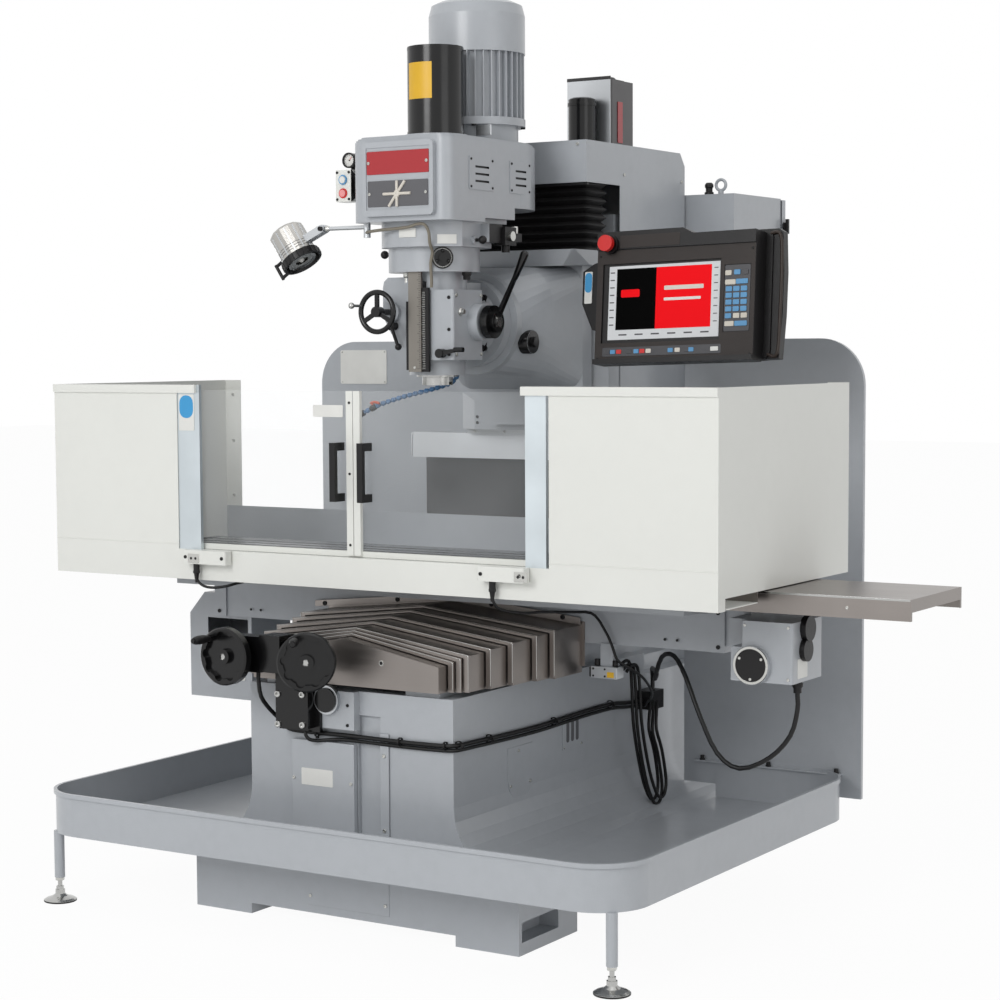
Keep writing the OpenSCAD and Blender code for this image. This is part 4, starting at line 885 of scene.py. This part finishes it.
def add_way_cover_fittings():
    """The rear flange and its screws, the front plate's eyelets with black in their holes as painted shade, and along
    each cover a bright lip whose lighter steel is partly a painted highlight.
    """
    work = Work()
    work.outline(STAINLESS, [(-490, 818), (0, 865), (436, 820), (436, 838), (0, 883), (-490, 836)], 58, 63, "XZ")
    work.piece("way_cover_flange", "saddle", 0.5)
    fasten("saddle", BLACK, 7, [(x, 58, 874 - abs(x) * 0.099) for x in (-453, -186, 143, 380)], height=0.5)
    work = Work()
    for x in (-140, 126):
        work.washer(SILVER, (x, -476, 752), FRONT, 8, 5, 1.2, 24)
        # a black disc fills each eyelet's hole: painted shade in it
        work.lathe(BLACK, (x, -476, 752), FRONT, [(5, 0.4), (5, 0.8)], 20)
    work.piece("way_cover_eyelets", "base")
    # each cover is wider and taller than the one that slides under it
    for k, y in enumerate((-430, -420, -410, -326, -243, -145, -80), 1):
        half, eave, ridge = 312 + 18 * k, 755 + 9 * k, 814 + 7 * k
        right = [(half - 4.5, eave - 1.4), (half - 2.2, eave - 3.4), (half - 2.2, 690)]
        line = [(-x, z) for x, z in reversed(right)] + [(0, ridge - 1.8)] + right
        work = Work()
        # a rolled lip along the cover's edge in lighter, shinier steel than the cover: a real lip, partly a painted
        # highlight
        work.tube(BRIGHT, [(x, y - 4.6, z) for x, z in line], 1.3, 8)
        work.piece(f"cover_edge_{k}", f"y_cover_{k}" if k < 7 else "saddle")


def add_saddle_fittings():
    """Flange screws, the limit switch, the lubricator's plates and the drive box's trim."""
    fasten("saddle", BLACK, 6, [(s * 866, 64, z) for s in BOTH_SIDES for z in (782, 876)])
    fasten("saddle", BLACK, 4, [(s * x, 64, z) for s in BOTH_SIDES for x in (703, 741) for z in (793, 867)])
    work = Work()
    work.block(ALLOY, (478, 560), (46, 88), (672, 706))
    work.block(SIGN_YELLOW, (530, 552), (44.8, 46.4), (676, 692))
    work.block(BLACK, (470, 480), (52, 84), (674, 702))
    work.rod(BLACK, (489, 67, 706), (489, 67, 724), 9)
    work.rod(BLACK, (545, 67, 706), (545, 67, 722), 8)
    work.block(GREY, (500, 540), (62, 80), (704, 770))
    work.piece("limit_switch", "saddle", 0.8)
    fasten("saddle", BLACK, 3, [(x, 46, z) for x in (486, 523) for z in (699, 679)])
    work = Work()
    work.plate(PALE, (-930, -796), (560, 660), 98.6, 100.2, corner=5)
    work.plate(CREAM, (-925, -880), (600, 655), 97.8, 99, corner=3)
    work.piece("lubricator_plate", "saddle", 0.3)
    work = Work()
    work.washer(SILVER, (1048, -115, 767), FRONT, 50, 43.5, 1.6, 40)
    work.plate(PALE, (-68, -6), (733, 785), 1159.4, 1160.9, "YZ", 3)
    work.lathe(BLACK, (1130, 0, 712), DOWN, [(15, 0), (15, 8), (11, 14), (11, 26)], 20)
    work.piece("drive_box_trim", "saddle", 0.3)
    ring = [polar(36, angle, 1048, 767) for angle in (30, 150, 270)]
    fasten("saddle", SILVER, 4, [(x, -117, z) for x, z in ring])
    fasten("saddle", SILVER, 4, [(x, -100, z) for x in (1024, 1148) for z in (734, 870)])


# ---- guard and table


def add_guard_fittings():
    """Seams, corner plates, switch fittings, blank plates and screws of the guard, and the end cover's trim."""
    work = Work()
    for low, high in ((-1098, -628), (613, 1098)):
        work.block(WHITE, (low, high), (-412.4, -410.5), (1037.5, 1040.5))
    work.plate(WHITE, (-628, -584), (1024, 1058), -399, -396.6, corner=4)
    work.plate(WHITE, (541, 589), (1022, 1054), -399, -396.6, corner=4)
    work.piece("guard_seams", "table", 0.6)
    fasten("table", BLACK, 3.2, [(-618, -399, 1048), (-597, -399, 1034), (551, -399, 1045), (577, -399, 1032)])
    work = Work()
    for x in (-566, 528):
        work.block(SILVER, (x, x + 40), (-447, -444.6), (990, 1016))
        # two black discs on each bracket stand in for its holes: painted shade in them
        for hole in (x + 12, x + 28):
            work.lathe(BLACK, (hole, -447, 1003), FRONT, [(4, 0), (4, 0.5)], 16)
    for x in (-550, 450):
        work.lathe(BLACK, (x, -428, 966), DOWN, [(10, 0), (10, 6), (7.5, 9), (6, 20), (4.6, 34)], 18)
    work.piece("switch_fittings", "table", 0.3)
    fasten("table", SILVER, 5, [(s * 1067, 397.4, z) for s in BOTH_SIDES for z in (1120, 1300, 1450)])
    # bare plates on the post and the door
    work = Work()
    work.plate(PALE, (-622, -566), (1366, 1470), -409.6, -407.8, corner=3)
    work.plate(SIGN_BLUE, (-619, -569), (1402, 1467), -410.2, -409.2, corner=22)
    work.piece("post_plate", "table", 0.2)
    work = Work()
    work.plate(PALE, (-160, -58), (1410, 1443), -386.4, -385, corner=3)
    work.piece("door_plate", "left_door", 0.2)
    fasten("left_door", BLACK, 3.6, [(-29, -397, z) for z in (1059, 1255, 1450)])
    # table end cover's folded edge, its screws and the clip
    work = Work()
    work.block(BRIGHT, (967, 1499), (-145.9, -144.4), (962, 967.6))
    work.block(BLACK, (985, 1008), (-149, -144), (925, 944))
    work.piece("end_cover_trim", "table", 0.4)
    fasten("table", SILVER, 4.5, [(1060, -145, 938), (1330, -145, 938)])


# ---- milling head


def add_head_fittings():
    """Enamel plates, louvre screws, gauge, buttons, dial, depth scale and the lamp's lead."""
    work = Work()
    work.plate(RED_PLATE, (-98, 111), (2082, 2146), -205.2, -203.2, corner=3)
    work.plate(DARK_PLATE, (-95, 108), (1992, 2064), -205.2, -203.2, corner=3)
    # spoke handle of the spindle brake
    for angle, reach in ((0, 46), (90, 36), (52, 44)):
        ends = [polar(reach, angle + half_turn, 5, 2027) for half_turn in (180, 0)]
        work.rod(CREAM, *[(x, -207, z) for x, z in ends], 4.2, 12)
    work.lathe(CREAM, (5, -204, 2027), FRONT, [(10, 0), (10, 5), (8, 7)], 20)
    work.piece("head_front_plates", "head", 0.6)
    fasten("head", SILVER, 4.5, [(x, -205.2, z) for x, z in ((-91, 2114), (104, 2114), (-88, 2028), (101, 2028))])
    for s in BOTH_SIDES:
        fasten("head", BLACK, 3.6, [(s * 167.4, y, z) for y in (-76, 36, 140, 238) for z in (2048, 2124)], (s, 0, 0))
    # pressure gauge
    work = Work()
    work.washer(GLOSS_BLACK, (-205, -134, 2133), FRONT, 22, 17.5, 9, 32)
    work.lathe(PALE, (-205, -134, 2133), FRONT, [(18, 0), (18, 3.5)], 28)
    for k in range(11):
        mark = [polar(radius, 225 - 27 * k, -205, 2133) for radius in (12.5, 15.5)]
        work.rod(BLACK, *[(x, -137.8, z) for x, z in mark], 0.45, 6)
    work.rod(RED, (-205, -138.2, 2133), (-197, -138.2, 2143), 0.7, 6)
    work.lathe(BLACK, (-205, -137, 2133), FRONT, [(2.2, 0), (2.2, 2)], 12)
    # rings of the two buttons
    work.washer(KEY_BLUE, (-220, -148, 2078), FRONT, 14, 10.4, 4, 28)
    work.washer(RED, (-220, -148, 2040), FRONT, 14, 10.4, 3, 28)
    work.piece("drawbar_gauge", "head", 0.3)
    fasten("head", BLACK, 3.8, [(x, -148, z) for x in (-241, -200) for z in (2023, 2099)])
    # speed dial's ring
    work = Work(DIAL_PLACE)
    work.washer(GLOSS_BLACK, (0, -7, 0), FRONT, 31, 27, 3.5, 40)
    work.washer(PALE, (0, -6, 0), FRONT, 27.5, 24.6, 2.6, 40)
    for k in range(24):
        mark = [polar(radius, 15 * k) for radius in (25.2, 27)]
        work.rod(BLACK, *[(x, -8.7, z) for x, z in mark], 0.4, 6)
    work.piece("dial_ring", "head", 0.3)
    # depth scale
    work = Work()
    for k in range(59):
        z = 1540 + 5 * k
        work.block(BLACK, (14 if k % 5 else 9, 21), (-116.4, -115.8), (z - 0.5, z + 0.5))
        if z < 1760:
            work.block(PALE, (24 if k % 5 else 22, 33), (-112.5, -111.8), (z - 0.4, z + 0.4))
    work.piece("depth_marks", "head")
    # plates left blank
    work = Work()
    for angle, radius, z in ((-88, 157.608, 1921), (-46, 158.4, 1902)):
        arc = range(angle - 10, angle + 11, 5)
        shape = [polar(radius, a) for a in arc] + [polar(159.6, a) for a in reversed(arc)]
        work.outline(PALE, shape, z - 13, z + 13)
    work.piece("head_plates", "head")
    # braided lead of the lamp
    lead, _ = cord_piece("lamp_lead", LAMP_LEAD, 4.4, 4, BRAID)
    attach(lead, "head")
    # clamp nuts, oil cups and caps
    work = Work()
    work.lathe(SILVER, (-60, -62, 1812), DOWN, [(12, 0), (12, 10), (9, 14), (9, 28)], 18)
    work.lathe(BLACK, (118, -25, 1812), DOWN, [(14, 0), (14, 8), (11, 12), (11, 22)], 6)
    work.lathe(SILVER, (112, -60, 1700), RIGHT, [(10, 0), (11, 3), (11, 9), (7, 12), (7, 20)], 18)
    work.piece("head_oilers", "head", 0.4)
    fasten("head", BLACK, 5, [(104, -97, 1740), (104, -97, 1650), (34, -97, 1750), (104, -97, 1580)])
    fasten("head", SILVER, 4, [(0, -116, 1543), (0, -116, 1837)])
    fasten("head", SILVER, 5.5, [(118, y, z) for y in (-82, 48) for z in (1580, 1746)], RIGHT)
    # grip rings of the drawbar cover, blank yellow plate
    work = Work()
    work.washer(GLOSS_BLACK, (0, 0, 2203), UP, 81.5, 79.8, 8, 48)
    work.washer(GLOSS_BLACK, (0, 0, 2441), UP, 80.8, 79.6, 6, 48)
    arc = range(-124, -61, 6)
    band = [polar(80.3, a) for a in arc] + [polar(81, a) for a in reversed(arc)]
    work.outline(SIGN_YELLOW, band, 2300, 2402)
    work.piece("drawbar_trim", "head")
    # motor: terminal box lid, fan cowl screws and the plate at its foot
    work = Work()
    work.plate(GREY, (-52, 52), (2306, 2394), 382, 386, corner=8)
    work.rod(BLACK, (0, 365, 2302), (0, 365, 2286), 11)
    work.piece("motor_terminal_lid", "head", 1.0)
    fasten("head", SILVER, 4, [(x, 386, z) for x in (-42, 42) for z in (2316, 2384)], BACK)
    ring = [(*polar(134, angle, 0, 222), 2240) for angle in (-62, 28, 118, 208)]
    fasten("head", BLACK, 8, ring, DOWN, sides=6, recess=0.05)
    work = Work()
    work.block(ALLOY, (70, 118), (104, 112), (2206, 2236))
    work.piece("motor_plate", "head", 0.5)


def add_slide_fittings():
    """Black cap of the swivel's worm, the slide's screws and the swivel's clamp bolts."""
    work = Work()
    work.lathe(GLOSS_BLACK, (138, 252, 1614), RIGHT, [(35, 0), (35, 30), (33, 33), (16, 33.5), (15, 44)], 36)
    work.piece("worm_cap", "head_slide", 0.5)
    fasten("head_slide", BLACK, 5, [(x, 500, z) for x in (-182, 182) for z in (1366, 1384)])
    fasten("head", BLACK, 9, [(x, 150, z) for x, z in SWIVEL_BOLTS], sides=6, recess=0.05)


def add_lamp_fittings():
    """Reflector, bulb, knurled ring and ribbed body of the work lamp, and its pivot's screw and sleeve."""
    work = Work(LAMP_PLACE)
    work.lathe(BRIGHT, (0, 0, -40), DOWN, [(20, 0), (38, 12), (44, 15), (44, 16), (0, 3)], 28)
    work.ball(PALE, (0, 0, -47), 9, 14)
    work.washer(SILVER, (0, 0, -52), DOWN, 40, 20, 1.2, 28)
    for k in range(24):
        x, y = polar(59.2, 15 * k)
        work.block(BLACK, (x - 2, x + 2), (y - 2, y + 2), (-59, -40))
    work.piece("lamp_lens", "lamp_head", 0.3)
    work = Work(LAMP_PLACE)
    work.lathe(LAMP_METAL, (0, 0, -35.5), UP, [(53.5, 0), (53.5, 82), (47, 89), (30, 92)], 12)
    for z in (-26, -18, -10):
        work.washer(DARK_PLATE, (0, 0, z), UP, 53.9, 50, 1.6, 12)
    work.piece("lamp_body", "lamp_head", sharp=20)
    fasten("lamp_arm", BLACK, 7, [(-312, -137, 1943)], recess=0.2)
    work = Work()
    work.lathe(SILVER, (-336, -120, 1943), RIGHT, [(8, 0), (8.5, 2), (8.5, 40), (6.4, 46)], 20)
    work.piece("lamp_arm_sleeve", "lamp_arm", 0.2)


# ---- pendant


def add_pendant():
    """Screen, keys and blank plates on the control pendant."""
    work = Work(PENDANT_PLACE)
    # the panel's face, in bars round the screen and the keys
    bars = [((-249, 249), z) for z in ((94.5, 133), (-184, -132.5))]
    bars += [((155, 237), z) for z in ((75.5, 95), (-133, -112.5))]
    bars += [(x, (-133, 95)) for x in ((-249, -230.5), (144.5, 155.5), (236.5, 249))]
    for x, z in bars:
        work.block(PANEL, x, (-76.8, -75.5), z)
    work.piece("pendant_panel", "pendant", 0.4)
    work = Work(PENDANT_PLACE)
    work.block(BLACK, (-229.5, 143.5), (-71.2, -70.1), (-131.5, 93.5))
    work.block(SCREEN_GREY, (-212, 140), (-71.7, -71), (-123, 88))
    work.block(SCREEN_BLACK, (-187, -60), (-72.1, -71.5), (-95, 80))
    work.block(SCREEN_RED, (-60, 114), (-72.1, -71.5), (-95, 80))
    work.plate(PALE, (-34, 82), (-16, -8), -72.5, -72, corner=2)
    work.plate(CREAM, (-34, 90), (14, 26), -72.5, -72, corner=2)
    work.plate(SCREEN_RED, (-172, -112), (-2, 20), -72.5, -72, corner=4)
    # soft-key marks down both sides of the screen and along its foot
    marks = [(x, 70 - 21.4 * k, half) for x, half in (((-208, -194), 1.6), ((122, 134), 1.2)) for k in range(8)]
    marks += [((-176 + 52 * k, -150 + 52 * k), -109, 2) for k in range(6)]
    for x, z, half in marks:
        work.block(KEY_DARK, x, (-72.3, -71.6), (z - half, z + half))
    work.piece("pendant_screen", "pendant", 0.15)
    work = Work(PENDANT_PLACE)
    work.plate(KEY_DARK, (157, 235), (-111, 74), -76, -74.7, corner=4)
    # each key: across, up, width, finish
    keys = [(168, 52, 19, KEY_CREAM), (195, 53, 19, KEY_BLUE), (219, 53, 19, KEY_DARK), (175, 26, 32, KEY_CREAM),
            (210, 27, 36, KEY_BLUE), (171, -68, 19, KEY_BLUE), (196, -68, 19, KEY_CREAM), (219, -68, 19, KEY_CREAM),
            (175, -90, 28, KEY_CREAM), (210, -90, 38, KEY_BLUE)]
    keys += [(x, z, 19, KEY_BLUE) for x in (171, 194, 217) for z in (7, -11, -30, -49)]
    for x, z, wide, finish in keys:
        work.plate(finish, (x - wide / 2, x + wide / 2), (z - 7, z + 7), -78.4, -75.8, corner=2.5)
    strip = [(-208, KEY_DARK), (-190, KEY_BLUE), (-170, RED), (-137, KEY_DARK), (-114, KEY_BLUE), (-95, RED),
             (-75, CREAM), (-5, KEY_BLUE), (17, CREAM), (45, KEY_DARK), (60, KEY_BLUE), (132, PALE)]
    work.plate(KEY_DARK, (-224, 152), (-171, -145), -77.6, -76.4, corner=4)
    for x, finish in strip:
        half = 12 if finish is PALE else 8
        work.plate(finish, (x - half, x + half), (-164, -152), -79, -77.2, corner=2)
    work.piece("pendant_keys", "pendant", 0.4)
    work = Work(PENDANT_PLACE)
    work.plate(PANEL, (-175, 16), (139, 174), -82.8, -81.8, corner=3)
    work.plate(PALE, (-331, -306), (-4, 89), -5.2, -3.8, corner=3)
    work.plate(SIGN_BLUE, (-330, -307), (28, 86), -5.9, -5, corner=11)
    work.washer(BLACK, (-206, -90, 150), FRONT, 27, 23.6, 2.4, 32)
    work.piece("pendant_plates", "pendant", 0.3)
    work = Work(PENDANT_PLACE)
    rim = [(262, -9, -170), (292, -10, -168), (297, -10, -60), (298, -10, 60), (292, -10, 160), (262, -9, 168)]
    work.tube(SHELL, smooth(rim, 5), 5)
    work.piece("pendant_grip_rim", "pendant", sharp=60)
    corners = [PENDANT_PLACE @ Vector((s * 240, -77, z)) for s in BOTH_SIDES for z in (118, -176)]
    fasten("pendant", BLACK, 3.4, corners, PENDANT_PLACE.to_3x3() @ Vector(FRONT))


# ---- bellows and blind


def skin_piece(name, finish, rows, thickness, sharp):
    """A thin skin through rows of points, as a piece that still needs its body."""
    wide = len(rows[0])
    starts = [i * wide + k for i in range(len(rows) - 1) for k in range(wide - 1)]
    work = Work()
    work.add(finish, [p for row in rows for p in row], [[a, a + 1, a + 1 + wide, a + wide] for a in starts])
    made = work.piece(name, None, sharp=sharp)
    skin = made.modifiers.new("skin", "SOLIDIFY")
    skin.thickness, skin.offset = thickness * MM, 0.0
    return made


def add_bellows():
    """Pleated cover between the head slide and the top of the column."""
    low, high, pleats, steps = 1887.5, 2083.5, 8, 6
    rows = []
    for share in (i / (pleats * steps) for i in range(pleats * steps + 1)):
        # 1 at a pleat's outer edge, 0 at its fold
        edge = abs(((share * pleats * 2) % 2) - 1)
        inset = 20 * (1 - edge) ** 0.9
        z = low + (high - low) * share
        x, y = 244 - inset, 440 + inset
        rows.append([(-x, 560, z), (-x, y + 8, z), (-x + 8, y, z), (x - 8, y, z), (x, y + 8, z), (x, 560, z)])
    bellows = skin_piece("bellows", CLOTH, rows, 1.6, 25)
    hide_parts("column_bellows")
    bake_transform(bellows)
    work = Work()
    work.block(BLACK, (-248, 248), (434, 446), (2078, 2086))
    work.piece("bellows_frame", "base", 0.8)


def add_blind():
    """Coated cloth that unrolls over the column's ways, in its aluminium box."""
    low, high, wide, columns, steps = 712, 1262, 910, 24, 40
    across = [wide * (i / columns - 0.5) for i in range(columns + 1)]
    rows = []
    for share in (j / steps for j in range(steps + 1)):
        # it hangs in shallow waves that fade out at both ends
        sway = 0.8 * math.sin(math.pi * share)
        rows.append([(x, 621.5 + sway * math.sin(x / 90), low + (high - low) * share) for x in across])
    blind = skin_piece("blind_cloth", DARK_CLOTH, rows, 1.0, 60)
    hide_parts("way_blind")
    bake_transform(blind)
    work = Work()
    for x in (-487, 484):
        work.plate(ANODISED, (582, 626), (1252, 1328), x, x + 3, "YZ", 6)
    work.piece("blind_end_caps", "head_slide", 0.6)
    fasten("head_slide", BLACK, 3.5, [(487, y, z) for y in (592, 616) for z in (1262, 1318)], RIGHT)
    fasten("head_slide", SILVER, 4.5, [(x, 560, 1337) for x in (-230, -120, 120, 230)])


# ---- column, drive and cabinet


def add_column_fittings():
    """Cover screws, the drive's panels and rings, and the fittings on the cabinet's top."""
    for s in BOTH_SIDES:
        fasten("base", SILVER, 5, [(s * 250, y, z) for y in (660, 1040) for z in (1340, 1600, 2120)], (s, 0, 0))
    fasten("base", SILVER, 5, [(x, 428, 2198) for x in (-220, 220)])
    work = Work()
    work.block(ALLOY, (-78, 78), (882.5, 885.5), (2224, 2446))
    work.block(MOTOR_BLACK, (-79, 79), (882, 886), (2441, 2451.5))
    work.plate(RED_PLATE, (930, 962), (2245, 2375), 78.6, 80.2, "YZ", 3)
    work.lathe(MOTOR_BLACK, (0, 965, 2449), UP, [(46, 0), (46, 5), (42, 8)], 32)
    work.piece("drive_panels", "base", 0.6)
    work = Work()
    for z in (2226, 2356):
        work.washer(GLOSS_BLACK, (0, 840, z), UP, 46, 42.6, 10, 36)
    work.lathe(GLOSS_BLACK, (0, 840, 2376), UP, [(40, 0), (40, 3), (30, 7), (0, 8)], 32)
    work.piece("screw_housing_rings", "base", 0.5)
    fasten("base", SILVER, 6, [(x, y, 2222) for x in (-84, 84) for y in (792, 1038)], UP)
    work = Work()
    work.washer(BLACK, (345, 1130, 2080), UP, 16, 9.4, 3, 24)
    work.lathe(BLACK, (308, 1120, 2080), UP, [(15, 0), (15, 9), (11, 12), (11, 22), (14, 26), (14, 34), (9, 40)], 16)
    work.piece("cabinet_top_fittings", "base", 0.3)


add_camera()
add_cords()
add_studio()
finish_nodes()
add_bed_fittings()
add_tray_fittings()
add_way_cover_fittings()
add_saddle_fittings()
add_guard_fittings()
add_head_fittings()
add_slide_fittings()
add_lamp_fittings()
add_pendant()
add_bellows()
add_blind()
add_column_fittings()
set_fasteners()
add_floor()

bpy.context.scene.view_settings.view_transform = "Standard"
